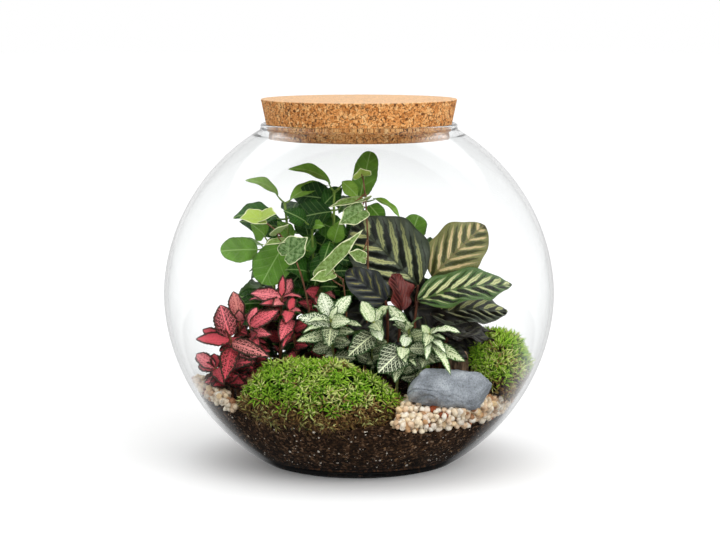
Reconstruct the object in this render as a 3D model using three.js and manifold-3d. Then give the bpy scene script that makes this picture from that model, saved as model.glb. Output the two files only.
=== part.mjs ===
// A closed plant terrarium: a blown glass globe with a wide mouth and a tapered cork lid,
// filled with drainage granules and soil, and planted with coffee seedlings, ivy, calathea,
// red and white fittonia, moss, pebbles, a slate stone and a piece of bark.
// Millimetres, +Z up, origin at the centre of the glass foot, -Y towards the front.
import * as THREE from 'three';
import { mergeVertices } from 'three/addons/utils/BufferGeometryUtils.js';
import Module from 'manifold-3d';

const wasm = await Module();
wasm.setup();
const { Manifold, Mesh: SolidMesh } = wasm;

// Glass globe
const GLOBE_RADIUS = 150;
const EQUATOR_HEIGHT = 131;
const BELLY_REACH = 149; // from the equator down to where the belly curve would meet the axis
const CROWN_REACH = 147; // the same, upwards
const ROUNDNESS = 1.92; // 2 would make an ellipse
const WALL = 3;
const FOOT_THICKNESS = 5;
const SHOULDER_HEIGHT = 257;
const RIM_TOP = 262;
const RIM_RADIUS = 75.2;
const MOUTH_RADIUS = 71.5;
const RIM_ROUND = 1.2;
const AROUND = 32; // facets around the globe and the lid
const BELLY_STEPS = 4; // facets up the wall to the equator
const CROWN_STEPS = 3; // and above it

// Cork lid
const LID_TOP = 280.5;
const LID_BOTTOM = 249;
const LID_TOP_RADIUS = 75;
const LID_BOTTOM_RADIUS = 68.5;
const LID_EDGE = 0.8; // rounding of its edges

// Ground
const GAP = 0.3; // left between pieces that lie against each other
const SIMPLIFY = 0.05; // facets flatter than this are joined
const DRAIN_HEIGHT = 12;
const SOIL_FRONT_HEIGHT = 46.5;
const SOIL_RISE = 16;
const SOIL_FRONT_Y = -118;
const SOIL_BACK_Y = -40;
const SOIL_TILT = 0.02; // rise towards the right
const GROUND_SPAN = 136; // half the width of the ground grids
const GROUND_CELL = 22.6;
const GROUND_FLOOR = -10; // below the lowest point of the soil
const GRAVEL_DEPTH = 4.5;
const GRAVEL_BANK = 12; // extra height of the gravel away from the glass
const GRAVEL_BACK_Y = -70;
const GRAVEL_CEILING = 120; // above the highest point of the gravel
const PEBBLE_RADIUS = 6.1;
const PEBBLE_SPACING = 9.9;
const PEBBLE_SCATTER = 0.3; // share of the spacing
const PEBBLE_LIFT = 1; // of its centre above the bed

// Shoots
const FITTONIA_STEM = 1.3; // radii
const COFFEE_STEM = 1.3;
const COFFEE_STALK = 0.8;
const IVY_STEM = 1.1;
const IVY_STALK = 0.6;
const CALATHEA_STALK = 1.4;
const ROOT_DEPTH = 13;
const ROOT_CLEARANCE = 0.7;
const HOLE_REACH = 40; // from the foot of a stem to above the ground
const HOLE_SIDES = 5;
const BLADE_THICKNESS = 0.8;
const STEM_SIDES = 4;
const STEM_STEPS = 5;
const STEM_UPRIGHT = 2; // straight above the ground before the bend
const LEAF_START = 0.8; // from the stem's middle to where a leaf begins, inside the stem
const PETIOLE_SIDES = 4;
const PETIOLE_INTO_BLADE = 1.4;
const PETIOLE_END = 0.38;

// Which way the upper face of a leaf looks
const FACES = {
  up: [0, -0.35, 1],
  front: [0, -1, 0.35],
  tilted: [0, -0.8, 1],
  level: [0, 0, 1],
  back: [0, 0.6, 1],
  right: [1, -0.4, 0.5],
};

// Blade outlines: half the width grows as s^blunt[0] (1 - s)^blunt[1] from base to tip.
// rows are the crossings that carry a left, middle and right point.
const BLADES = {
  fittonia: { blunt: [0.6, 0.75], rows: [0.35, 0.7], arch: 0.12, fold: 14, wave: 0, waves: 1 },
  coffee: { blunt: [0.75, 1.05], rows: [0.22, 0.5, 0.8], arch: 0.13, fold: 14, wave: 1, waves: 3 },
  young: { blunt: [0.75, 1], rows: [0.3, 0.7], arch: 0.13, fold: 14, wave: 0.6, waves: 2 },
  seed: { blunt: [0.42, 0.42], rows: [0.12, 0.5, 0.86], arch: 0.06, fold: 6, wave: 0.9, waves: 1.5 },
  calathea: {
    blunt: [0.5, 0.62], rows: [0.12, 0.34, 0.62, 0.86], arch: 0.08, fold: 9, wave: 1.5, waves: 2.2,
  },
};

// Ivy outline: distance from the leaf stalk, as a share of the length, by the angle off the tip.
const IVY_OUTLINE = [[0, 1], [26, 0.7], [50, 0.76], [76, 0.56], [108, 0.56], [150, 0.32]];
const IVY_NOMINAL_WIDTH = 1.1;
const IVY_FOLD = 16;
const IVY_MIDDLE = 0.4; // share of the midrib where the facets meet

// Plants. root is [x, y] on the soil, head is the top of the stem, knee bends the stem.
// A head's leaves are [how far below the head, tip offset x, y, z, width, face].
const RED_FITTONIA = [
  {
    root: [-90, -56], head: [-95, -70, 108], leaves: [
      [0, -7, 4, 23, 18, 'front'], [4, -21, 14, 3, 10, 'front'], [2, -24, -4, -1, 11, 'front'],
      [0, -10, -10, 8, 7, 'up'], [4, 30, -18, -12, 12, 'front'], [8, -2, -22, -28, 14, 'front'],
      [12, 21, -2, -15, 11, 'front'], [24, 18, -22, -15, 11, 'front'], [8, 4, 20, -4, 11, 'back'],
    ],
  },
  {
    root: [-60, -32], head: [-58, -42, 134], leaves: [
      [0, -23, -6, 3, 12, 'front'], [0, 1, 2, 16, 7, 'front'], [2, 7, 12, 12, 11, 'front'],
      [0, 16, -4, -1, 7, 'up'], [4, -6, -16, -5, 10, 'front'], [4, -16, -14, -4, 7, 'front'],
      [6, -25, 8, -4, 11, 'up'], [6, 8, 20, -2, 11, 'back'],
    ],
  },
  {
    root: [-88, -36], head: [-89, -50, 117], leaves: [
      [0, -5, 6, 21, 13, 'front'], [0, 0, -6, 9, 10, 'front'], [4, -18, 6, 4, 10, 'front'],
      [6, -14, 16, -2, 11, 'back'], [6, 10, 18, 4, 11, 'back'],
    ],
  },
  {
    root: [-74, -50], head: [-81, -62, 115], leaves: [
      [0, 5, 6, 13, 10, 'front'], [0, 22, -4, 12, 12, 'front'], [5, 17, -12, -5, 10, 'front'],
      [8, 8, -16, -14, 10, 'front'],
    ],
  },
  {
    root: [-94, -54], head: [-106, -66, 84], leaves: [
      [0, -15, 14, 8, 11, 'front'], [0, -13, 8, 0, 8, 'front'], [0, 8, -22, -8, 10, 'front'],
      [0, -2, 10, 9, 8, 'up'],
    ],
  },
  {
    root: [-46, -42], head: [-52, -52, 125], leaves: [
      [0, -2, -12, -8, 11, 'front'], [6, -6, -20, -20, 13, 'front'], [14, -5, -22, -26, 7, 'front'],
      [0, 9, 4, -2, 10, 'up'], [0, 3, 8, 9, 8, 'front'],
    ],
  },
  {
    root: [-30, -22], head: [-28, -22, 133], leaves: [
      [0, -13, -4, 3, 12, 'front'], [0, 10, 2, -4, 11, 'front'], [0, -3, 8, 7, 11, 'front'],
      [4, -4, -14, -6, 10, 'up'], [6, 10, 16, -4, 11, 'back'],
    ],
  },
];

const WHITE_FITTONIA = [
  {
    root: [-19, -48], head: [-21, -62, 120], leaves: [
      [0, -7, 12, 18, 13, 'front'], [0, 15, 10, 16, 11, 'front'], [0, 5, -2, 10, 6, 'front'],
      [4, -24, -6, 2, 13, 'front'], [2, -13, 8, 9, 8, 'up'], [3, -17, -12, -1, 8, 'up'],
      [8, -20, -16, -8, 8, 'up'], [12, -25, -10, -15, 10, 'front'], [6, -1, -22, -17, 14, 'front'],
      [2, 15, -12, 0, 12, 'front'], [8, 23, -10, -4, 11, 'up'], [6, -12, 18, 0, 12, 'back'],
    ],
  },
  {
    root: [10, -48], head: [11, -64, 118], leaves: [
      [0, 5, -12, -5, 12, 'front'], [0, -9, 10, 14, 11, 'front'], [0, 5, 12, 8, 10, 'up'],
      [10, -19, -16, -23, 17, 'front'], [2, 6, -8, -13, 11, 'front'], [2, 11, 14, 10, 10, 'up'],
    ],
  },
  {
    root: [48, -58], head: [52, -74, 111], leaves: [
      [0, 22, -10, 2, 11, 'up'], [0, -4, -16, -7, 10, 'front'], [0, -6, 2, 6, 7, 'front'],
      [4, -3, -18, -17, 7, 'front'], [6, 14, -26, -26, 8, 'up'], [8, 25, -15, -18, 11, 'front'],
      [4, 11, -18, -12, 7, 'up'], [2, 11, -10, -3, 6, 'up'], [4, 8, 16, 2, 11, 'back'],
    ],
  },
  {
    root: [28, -58], head: [33, -74, 101], leaves: [
      [2, -19, -18, -16, 23, 'front'], [0, -2, -14, -7, 11, 'front'], [4, 1, -12, -10, 8, 'up'],
      [8, 9, -9, -13, 6, 'up'], [0, 3, 12, 7, 10, 'front'], [12, -7, -14, -24, 10, 'front'],
    ],
  },
  {
    root: [38, -46], head: [37, -62, 113], leaves: [
      [0, -15, -12, 8, 11, 'up'], [0, -2, -9, 7, 8, 'front'], [2, -15, 14, 15, 10, 'front'],
      [4, -12, 4, 2, 10, 'up'], [4, 10, 14, 6, 10, 'back'],
    ],
  },
];

// Leaves with stalks are [how far below the head, base x, y, z, tip x, y, z, width, blade, face].
const COFFEE = [
  {
    root: [-50, 4], head: [-57, 0, 201], leaves: [
      [0, -62, -3, 207, -86, -14, 219, 11, 'young', 'up'],
      [0, -53, 2, 203, -24, 20, 212, 14, 'young', 'level'],
      [12, -63, -8, 190, -95, -20, 191, 22, 'coffee', 'up'],
      [12, -52, 8, 190, -46, 40, 196, 22, 'coffee', 'back'],
    ],
  },
  {
    root: [-20, 6], head: [-19, -5, 210], leaves: [
      [0, -22, -6, 216, -53, -22, 228, 13, 'young', 'up'],
      [0, -13, -2, 217, -1, 2, 205, 12, 'young', 'front'],
      [14, -27, 2, 196, -38, 34, 201, 26, 'coffee', 'front'],
      [14, -15, 8, 196, -4, 42, 200, 22, 'coffee', 'back'],
      [36, -19, -15, 172, -14, -20, 189, 14, 'young', 'front'],
      [38, -22, -14, 172, -28, -26, 154, 11, 'young', 'front'],
    ],
  },
  {
    root: [2, 14], head: [1, 12, 201], leaves: [
      [0, 1, 13, 204, 9, 18, 239, 19, 'seed', 'front'],
      [4, 8, 7, 198, 18, -4, 187, 14, 'seed', 'front'],
      [0, 11, 11, 203, 32, 4, 188, 8, 'young', 'up'],
      [10, -2, 20, 194, -16, 46, 188, 18, 'young', 'back'],
    ],
  },
  {
    root: [-64, -8], head: [-66, -12, 170], leaves: [
      [0, -77, -22, 167, -104, -32, 167, 20, 'seed', 'front'],
      [0, -58, -26, 169, -73, -38, 143, 29, 'seed', 'front'],
      [2, -72, -8, 176, -82, -18, 186, 16, 'young', 'front'],
      [6, -74, 0, 168, -98, 16, 160, 18, 'young', 'back'],
    ],
  },
  {
    root: [36, 26], head: [38, 33, 162], leaves: [
      [0, 40, 34, 168, 47, 40, 187, 20, 'seed', 'front'],
      [2, 44, 40, 162, 62, 58, 158, 20, 'coffee', 'back'],
      [2, 32, 42, 162, 20, 66, 164, 20, 'coffee', 'back'],
    ],
  },
  {
    root: [-34, -4], head: [-36, -8, 184], leaves: [
      [0, -41, -8, 187, -57, -16, 196, 15, 'young', 'front'],
      [2, -34, -12, 184, -26, -24, 185, 9, 'young', 'front'],
      [20, -42, -12, 168, -56, -20, 158, 14, 'young', 'front'],
      [34, -30, -12, 156, -20, -24, 140, 14, 'young', 'front'],
    ],
  },
  {
    root: [-12, 40], head: [-14, 44, 168], leaves: [
      [0, -22, 46, 172, -54, 58, 170, 22, 'coffee', 'back'],
      [0, -6, 48, 172, 18, 84, 160, 24, 'coffee', 'back'],
      [20, -16, 52, 150, -32, 92, 134, 24, 'coffee', 'back'],
      [34, -22, 46, 136, -60, 62, 122, 22, 'coffee', 'back'],
    ],
  },
];

const IVY = [
  {
    root: [-34, -34], knee: [-34, -36, 172], head: [-72, -46, 191], leaves: [
      [0, -74, -49, 193, -88, -55, 194, 15, 'ivy', 'level'],
      [0, -71, -50, 194, -61, -58, 198, 14, 'ivy', 'up'],
      [14, -61, -46, 182, -52, -56, 190, 9, 'ivy', 'level'],
      [18, -57, -48, 176, -70, -60, 175, 9, 'ivy', 'up'],
      [34, -52, -52, 168, -38, -54, 180, 17, 'ivy', 'front'],
    ],
  },
  {
    root: [4, -24], knee: [10, -30, 178], head: [3, -32, 222], leaves: [
      [0, 2, -34, 225, 1, -44, 230, 13, 'ivy', 'level'],
      [18, -2, -36, 205, -22, -46, 202, 10, 'ivy', 'up'],
      [24, 0, -38, 197, -15, -48, 189, 14, 'ivy', 'front'],
      [16, 6, -34, 206, 9, -42, 210, 5, 'ivy', 'up'],
      [62, 2, -38, 163, -8, -48, 168, 9, 'ivy', 'front'],
    ],
  },
  {
    root: [-8, -38], knee: [-8, -44, 120], head: [-12, -48, 148], leaves: [
      [0, -24, -54, 158, 3, -56, 186, 16, 'ivy', 'front'],
      [8, -22, -54, 152, -38, -62, 148, 12, 'ivy', 'front'],
    ],
  },
];

// Calathea leaves: root, knee, base of the blade, tip, width, face.
const CALATHEA = [
  {
    root: [40, -12], knee: [42, -12, 120],
    base: [41, -16, 141], tip: [-4, -2, 184], width: 55, face: 'front',
  },
  {
    root: [56, -6], knee: [56, -4, 110],
    base: [57, 6, 143], tip: [98, 30, 180], width: 42, face: 'front',
  },
  {
    root: [44, -32], knee: [40, -36, 110],
    base: [44, -38, 130], tip: [115, -34, 141], width: 36, face: 'tilted',
  },
  {
    root: [62, -24], knee: [56, -26, 100],
    base: [54, -24, 118], tip: [113, -20, 116], width: 32, face: 'tilted',
  },
  {
    root: [18, -32], knee: [24, -38, 110],
    base: [20, -44, 131], tip: [-10, -48, 154], width: 26, face: 'front',
  },
  {
    root: [28, -24], knee: [30, -30, 100],
    base: [32, -33, 122], tip: [25, -34, 150], width: 24, face: 'right',
  },
  {
    root: [60, -42], knee: [60, -50, 88],
    base: [66, -56, 105], tip: [100, -64, 104], width: 14, face: 'up',
  },
  {
    root: [58, 20], knee: [58, 30, 100],
    base: [64, 40, 124], tip: [92, 78, 128], width: 32, face: 'back',
  },
];

// Moss cushions: centre and half widths in plan, heights of foot and top, rise towards the right, tufts.
const MOSS = {
  front: {
    centre: [-28, -85], reach: [61, 35], floor: 40, top: 95, tilt: -0.11,
    tuft: { count: 74, length: 7, radius: 3 },
  },
  right: {
    centre: [101, -34], reach: [27, 30], floor: 50, top: 103, tilt: 0,
    tuft: { count: 40, length: 11, radius: 2.8 },
  },
};
const MOSS_LIP = 0.25; // height of the rim as a share of the top
const MOSS_SKIRT = 20; // below the foot, inside the soil
const MOSS_ROWS = 5;
const MOSS_AROUND = 18;
const TUFT_SIDES = 3;
const TUFT_LEAN = 0.5; // how far a tuft leans at random, as a slope
const TUFT_CLEARANCE = 17; // no tufts this near the foot of a cushion

// Gravel outlines in plan
const GRAVEL = {
  right: [
    [22, -128], [60, -132], [112, -100], [140, -46], [138, -8], [120, -8], [104, -66], [92, -74], [34, -76],
  ],
  left: [[-82, -126], [-84, -94], [-94, -70], [-112, -40], [-128, -24], [-140, -40], [-120, -90]],
};

const STONE = { centre: [62, -86, 74], radii: [29, 13, 14], lean: 28, turn: 4 };
const BARK = { centre: [73, -56, 80], size: [17, 8, 38], turn: 10 };

const FINISHES = {
  glass: { color: 0xf2f6f5, roughness: 0.03 },
  cork: { color: 0xb48250, roughness: 0.9 },
  granules: { color: 0x6b4a33, roughness: 0.95 },
  soil: { color: 0x2a1d15, roughness: 0.95 },
  gravel: { color: 0xe3cfb4, roughness: 0.7 },
  moss: { color: 0x5f9a1f, roughness: 0.9 },
  slate: { color: 0x6a7180, roughness: 0.7 },
  bark: { color: 0xa87f62, roughness: 0.85 },
  red: { color: 0xc23a48, roughness: 0.55 },
  white: { color: 0xdfe8c8, roughness: 0.55 },
  coffee: { color: 0x3f8f24, roughness: 0.4 },
  ivy: { color: 0x8cab62, roughness: 0.5 },
  calathea: { color: 0x46543a, roughness: 0.45 },
};

let seed = 7;
function random() {
  seed = (seed * 1664525 + 1013904223) % 4294967296;
  return seed / 4294967296;
}

function vector(values) {
  return new THREE.Vector3(...values);
}

// Closed solid from a geometry: shared corners merged, empty faces dropped, and all faces turned outwards.
function solidOf(geometry) {
  const bare = new THREE.BufferGeometry();
  bare.setAttribute('position', geometry.getAttribute('position'));
  bare.setIndex(geometry.getIndex());
  const merged = mergeVertices(bare, 1e-4);
  const corners = merged.getAttribute('position').array;
  const index = merged.getIndex().array;
  const faces = [];
  let volume = 0;
  for (let i = 0; i < index.length; i += 3) {
    const [a, b, c] = [index[i], index[i + 1], index[i + 2]];
    if (a !== b && b !== c && c !== a) {
      faces.push([a, b, c]);
      const [p, q, r] = [a, b, c].map((k) => new THREE.Vector3().fromArray(corners, 3 * k));
      volume += p.dot(q.cross(r));
    }
  }
  const turned = volume < 0 ? faces.map(([a, b, c]) => [a, c, b]) : faces;
  return new Manifold(new SolidMesh({
    numProp: 3,
    vertProperties: new Float32Array(corners),
    triVerts: new Uint32Array(turned.flat()),
  }));
}

function indexed(points, faces) {
  const geometry = new THREE.BufferGeometry();
  const corners = points.flatMap((p) => p.toArray());
  geometry.setAttribute('position', new THREE.Float32BufferAttribute(corners, 3));
  geometry.setIndex(faces.flat());
  return geometry;
}

function geometryOf(solid) {
  const mesh = solid.simplify(SIMPLIFY).getMesh();
  const geometry = new THREE.BufferGeometry();
  geometry.setAttribute('position', new THREE.BufferAttribute(new Float32Array(mesh.vertProperties), 3));
  geometry.setIndex(new THREE.BufferAttribute(new Uint32Array(mesh.triVerts), 1));
  geometry.computeVertexNormals();
  return geometry;
}

const terrarium = new THREE.Group();
terrarium.name = 'plant_terrarium';

// Adds a solid as a named mesh. anchor is the point that the mesh is placed by.
function addPiece(name, solid, finish, anchor = [0, 0, 0]) {
  const geometry = geometryOf(solid);
  geometry.translate(-anchor[0], -anchor[1], -anchor[2]);
  const mesh = new THREE.Mesh(geometry, new THREE.MeshStandardMaterial({ ...finish, metalness: 0 }));
  mesh.name = name;
  mesh.position.set(...anchor);
  terrarium.add(mesh);
}

function lathe(profile) {
  const points = profile.map(([radius, height]) => new THREE.Vector2(radius, height));
  return solidOf(new THREE.LatheGeometry(points, AROUND).rotateX(Math.PI / 2));
}

// Wall of the globe at an inset from the outside, at the given angles from the equator.
function wallProfile(angles, inset) {
  return angles.map((angle) => {
    const reach = (angle < 0 ? BELLY_REACH : CROWN_REACH) - inset;
    const radius = (GLOBE_RADIUS - inset) * Math.sqrt(1 - Math.abs(Math.sin(angle)) ** ROUNDNESS);
    return [radius, EQUATOR_HEIGHT + reach * Math.sin(angle)];
  });
}

function angleAt(height, inset) {
  const rise = height - EQUATOR_HEIGHT;
  return Math.asin(rise / ((rise < 0 ? BELLY_REACH : CROWN_REACH) - inset));
}

// Angles from a low one up to the equator, and from there to a high one.
function bellyAngles(low) {
  return Array.from({ length: BELLY_STEPS + 1 }, (_, i) => low * (1 - i / BELLY_STEPS));
}

function crownAngles(high) {
  return Array.from({ length: CROWN_STEPS }, (_, i) => (high * (i + 1)) / CROWN_STEPS);
}

const FLOOR_ANGLE = angleAt(FOOT_THICKNESS, WALL);

function glassBowl() {
  const outerAngles = [...bellyAngles(angleAt(0, 0)), ...crownAngles(angleAt(SHOULDER_HEIGHT, 0))];
  const innerAngles = [...bellyAngles(FLOOR_ANGLE), ...crownAngles(angleAt(SHOULDER_HEIGHT, WALL))];
  const outer = wallProfile(outerAngles, 0);
  const inner = wallProfile(innerAngles, WALL).slice(0, -1).reverse();
  return lathe([
    [0, 0],
    ...outer,
    [RIM_RADIUS, RIM_TOP - RIM_ROUND],
    [RIM_RADIUS - RIM_ROUND, RIM_TOP],
    [MOUTH_RADIUS + RIM_ROUND / 2, RIM_TOP],
    [MOUTH_RADIUS, RIM_TOP - RIM_ROUND],
    [MOUTH_RADIUS, SHOULDER_HEIGHT],
    ...inner,
    [0, FOOT_THICKNESS],
  ]);
}

function corkLid() {
  const top = [LID_TOP_RADIUS, LID_TOP];
  const taper = (LID_TOP_RADIUS - LID_BOTTOM_RADIUS) / (LID_TOP - LID_BOTTOM);
  return lathe([
    [0, LID_BOTTOM],
    [LID_BOTTOM_RADIUS - LID_EDGE, LID_BOTTOM],
    [LID_BOTTOM_RADIUS, LID_BOTTOM + LID_EDGE],
    [top[0] - taper * LID_EDGE, top[1] - LID_EDGE],
    [top[0] - LID_EDGE, top[1]],
    [0, LID_TOP],
  ]);
}

// The room inside the globe up to its equator, a gap short of the glass.
function roomInside() {
  const walls = wallProfile(bellyAngles(FLOOR_ANGLE), WALL + GAP);
  walls[0][1] = FOOT_THICKNESS + GAP;
  return lathe([[0, FOOT_THICKNESS + GAP], ...walls, [0, EQUATOR_HEIGHT]]);
}

function soilHeight(x, y) {
  const rise = THREE.MathUtils.smoothstep(y, SOIL_FRONT_Y, SOIL_BACK_Y);
  return SOIL_FRONT_HEIGHT + SOIL_RISE * rise + SOIL_TILT * x + Math.sin(x / 17) * Math.cos(y / 23);
}

function gravelHeight(x, y) {
  const bank = THREE.MathUtils.smoothstep(y, SOIL_FRONT_Y, GRAVEL_BACK_Y);
  return soilHeight(x, y) + GRAVEL_DEPTH + GRAVEL_BANK * bank * (1 - bank / 2);
}

// Everything below a height function, as a square block.
function blockUnder(heightAt, lift = 0) {
  const cells = Math.round((2 * GROUND_SPAN) / GROUND_CELL);
  const points = [];
  for (let level = 0; level < 2; level += 1) {
    for (let j = 0; j <= cells; j += 1) {
      for (let i = 0; i <= cells; i += 1) {
        const x = -GROUND_SPAN + (2 * GROUND_SPAN * i) / cells;
        const y = -GROUND_SPAN + (2 * GROUND_SPAN * j) / cells;
        points.push(new THREE.Vector3(x, y, level ? heightAt(x, y) + lift : GROUND_FLOOR));
      }
    }
  }
  const side = cells + 1;
  const upper = side * side;
  const faces = [];
  const quad = (a, b, c, d) => faces.push([a, b, c], [a, c, d]);
  for (let j = 0; j < cells; j += 1) {
    for (let i = 0; i < cells; i += 1) {
      const k = j * side + i;
      quad(upper + k, upper + k + 1, upper + k + side + 1, upper + k + side);
      quad(k, k + side, k + side + 1, k + 1);
    }
  }
  for (let i = 0; i < cells; i += 1) {
    const far = cells * side + i;
    quad(i, i + 1, upper + i + 1, upper + i);
    quad(far + 1, far, upper + far, upper + far + 1);
    quad((i + 1) * side, i * side, upper + i * side, upper + (i + 1) * side);
    const right = i * side + cells;
    quad(right, right + side, upper + right + side, upper + right);
  }
  return solidOf(indexed(points, faces));
}

// Tube along a curve with a regular section.
function tube(curve, radius, sides, steps) {
  const section = new THREE.Shape(Array.from({ length: sides }, (_, i) => {
    const angle = (2 * Math.PI * i) / sides;
    return new THREE.Vector2(radius * Math.cos(angle), radius * Math.sin(angle));
  }));
  return solidOf(new THREE.ExtrudeGeometry(section, { steps, bevelEnabled: false, extrudePath: curve }));
}

// Stem: straight up out of its hole, then a bend towards the head.
function stemCurves({ root, head, knee }) {
  const ground = soilHeight(...root);
  const out = new THREE.Vector3(root[0], root[1], ground + STEM_UPRIGHT);
  const bend = knee ? vector(knee) : new THREE.Vector3(root[0], root[1], (ground + head[2]) / 2);
  return {
    foot: new THREE.Vector3(root[0], root[1], ground - ROOT_DEPTH),
    upper: new THREE.QuadraticBezierCurve3(out, bend, vector(head)),
  };
}

function stemSolid(plant, radius) {
  const { foot, upper } = stemCurves(plant);
  const path = new THREE.CurvePath();
  path.add(new THREE.LineCurve3(foot, upper.v0));
  path.add(upper);
  return tube(path, radius, STEM_SIDES, STEM_STEPS);
}

// Point inside the stem, this far below the head, where a leaf or leaf stalk towards a point begins.
function stemPoint(plant, down, towards) {
  const { upper } = stemCurves(plant);
  const middle = upper.getPoint(1 - (down + LEAF_START) / upper.v0.distanceTo(upper.v2));
  return middle.addScaledVector(towards.clone().sub(middle).normalize(), LEAF_START);
}

// Thin closed body: a sheet of triangles moved half the thickness to each side, with its rim closed.
function sheetSolid(points, faces, rim, normal) {
  const half = normal.clone().multiplyScalar(BLADE_THICKNESS / 2);
  const both = [...points.map((p) => p.clone().add(half)), ...points.map((p) => p.clone().sub(half))];
  const under = points.length;
  const all = [...faces, ...faces.map(([a, b, c]) => [under + a, under + c, under + b])];
  rim.forEach((a, i) => {
    const b = rim[(i + 1) % rim.length];
    all.push([a, under + a, under + b], [a, under + b, b]);
  });
  return solidOf(indexed(both, all));
}

// Directions of a blade: along it, out of its face, and across it.
function bladeFrame(base, tip, face) {
  const along = tip.clone().sub(base);
  const length = along.length();
  along.normalize();
  const hint = vector(FACES[face]).normalize();
  const normal = hint.sub(along.clone().multiplyScalar(hint.dot(along))).normalize();
  return { along, normal, across: along.clone().cross(normal), length };
}

// Plain blade: an arched midrib with both halves folded up and a waved margin.
function bladeSolid(base, tip, width, kind, face) {
  const { blunt, rows, arch, fold, wave, waves } = BLADES[kind];
  const { along, normal, across, length } = bladeFrame(base, tip, face);
  const widest = blunt[0] / (blunt[0] + blunt[1]);
  const peak = widest ** blunt[0] * (1 - widest) ** blunt[1];
  const pitch = THREE.MathUtils.degToRad(fold);
  const rib = (s) => base.clone()
    .addScaledVector(along, s * length)
    .addScaledVector(normal, 4 * s * (1 - s) * arch * length);
  const points = [rib(0)];
  rows.forEach((s) => {
    const half = (width / 2) * (s ** blunt[0] * (1 - s) ** blunt[1]) / peak;
    [-1, 0, 1].forEach((side) => {
      const waved = wave * Math.sin(2 * Math.PI * waves * s + side);
      points.push(rib(s)
        .addScaledVector(across, side * half * Math.cos(pitch))
        .addScaledVector(normal, Math.abs(side) * (half * Math.sin(pitch) + waved)));
    });
  });
  points.push(rib(1));
  const end = points.length - 1;
  const faces = [[0, 3, 2], [0, 2, 1], [end - 3, end - 2, end], [end - 2, end - 1, end]];
  const left = rows.map((_, i) => 1 + 3 * i);
  left.slice(0, -1).forEach((k) => {
    [k, k + 1].forEach((a) => faces.push([a, a + 1, a + 4], [a, a + 4, a + 3]));
  });
  const right = left.map((k) => k + 2);
  return sheetSolid(points, faces, [0, ...right, end, ...left.reverse()], normal);
}

// Lobed ivy blade, folded along the middle.
function ivySolid(base, tip, width, face) {
  const { along, normal, across, length } = bladeFrame(base, tip, face);
  const spread = width / (IVY_NOMINAL_WIDTH * length);
  const left = IVY_OUTLINE.slice(1).map(([degrees, share]) => [-degrees, share]);
  const outline = [...IVY_OUTLINE.slice().reverse(), ...left];
  const rise = Math.sin(THREE.MathUtils.degToRad(IVY_FOLD));
  const rim = [base.clone(), ...outline.map(([degrees, share]) => {
    const angle = THREE.MathUtils.degToRad(degrees);
    const sideways = spread * share * length * Math.sin(angle);
    return base.clone()
      .addScaledVector(along, share * length * Math.cos(angle))
      .addScaledVector(across, sideways)
      .addScaledVector(normal, rise * Math.abs(sideways));
  })];
  const middle = base.clone().addScaledVector(along, IVY_MIDDLE * length);
  const order = rim.map((_, i) => i);
  const faces = order.map((i) => [i, (i + 1) % rim.length, rim.length]);
  return sheetSolid([...rim, middle], faces, order, normal);
}

function leafSolid(base, tip, width, kind, face) {
  return kind === 'ivy' ? ivySolid(base, tip, width, face) : bladeSolid(base, tip, width, kind, face);
}

// Leaf stalk from the stem to the blade, thinner towards the blade and reaching a little into it.
function petioleSolid(from, base, tip, radius) {
  const into = base.clone().addScaledVector(tip.clone().sub(base).normalize(), PETIOLE_INTO_BLADE);
  const stalk = new THREE.CylinderGeometry(PETIOLE_END, radius, from.distanceTo(into), PETIOLE_SIDES);
  const along = into.clone().sub(from).normalize();
  stalk.applyQuaternion(new THREE.Quaternion().setFromUnitVectors(new THREE.Vector3(0, 1, 0), along));
  return solidOf(stalk.translate(...from.clone().lerp(into, 0.5).toArray()));
}

function addShoot(name, plant, solids, finish) {
  addPiece(name, Manifold.union(solids), finish, [...plant.root, soilHeight(...plant.root)]);
}

// Low plant: the leaves sit in pairs on the stem, with no stalks to speak of.
function addFittonia(name, plant, finish) {
  const leaves = plant.leaves.map(([down, x, y, z, width, face]) => {
    const tip = vector(plant.head).add(new THREE.Vector3(x, y, z));
    return bladeSolid(stemPoint(plant, down, tip), tip, width, 'fittonia', face);
  });
  addShoot(name, plant, [stemSolid(plant, FITTONIA_STEM), ...leaves], finish);
}

function addStalked(name, plant, radius, stalk, finish) {
  const leaves = plant.leaves.flatMap(([down, bx, by, bz, tx, ty, tz, width, kind, face]) => {
    const base = new THREE.Vector3(bx, by, bz);
    const tip = new THREE.Vector3(tx, ty, tz);
    const from = stemPoint(plant, down, base);
    return [petioleSolid(from, base, tip, stalk), leafSolid(base, tip, width, kind, face)];
  });
  addShoot(name, plant, [stemSolid(plant, radius), ...leaves], finish);
}

// One large leaf on its own stalk, which comes up straight from the ground.
function addCalathea(name, leaf) {
  const plant = { ...leaf, head: leaf.base };
  const [base, tip] = [vector(leaf.base), vector(leaf.tip)];
  const blade = bladeSolid(base, tip, leaf.width, 'calathea', leaf.face);
  const solids = [stemSolid(plant, CALATHEA_STALK), petioleSolid(base, base, tip, CALATHEA_STALK), blade];
  addShoot(name, plant, solids, FINISHES.calathea);
}

// Plain round holes that the stems stand in, as far up as the ground reaches.
function stemHoles(plants) {
  const holes = plants.map(({ root, radius }) => {
    const low = soilHeight(...root) - ROOT_DEPTH - GAP;
    const wide = radius + ROOT_CLEARANCE;
    const hole = new THREE.CylinderGeometry(wide, wide, HOLE_REACH, HOLE_SIDES);
    hole.rotateX(Math.PI / 2).translate(root[0], root[1], low + HOLE_REACH / 2);
    return solidOf(hole);
  });
  return Manifold.union(holes);
}

// Height of a moss dome as a share of its top, by the distance from its middle as a share of its reach.
function domeShare(share) {
  return MOSS_LIP + (1 - MOSS_LIP) * Math.max(0, 1 - share ** 2.3) ** 0.6;
}

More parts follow.
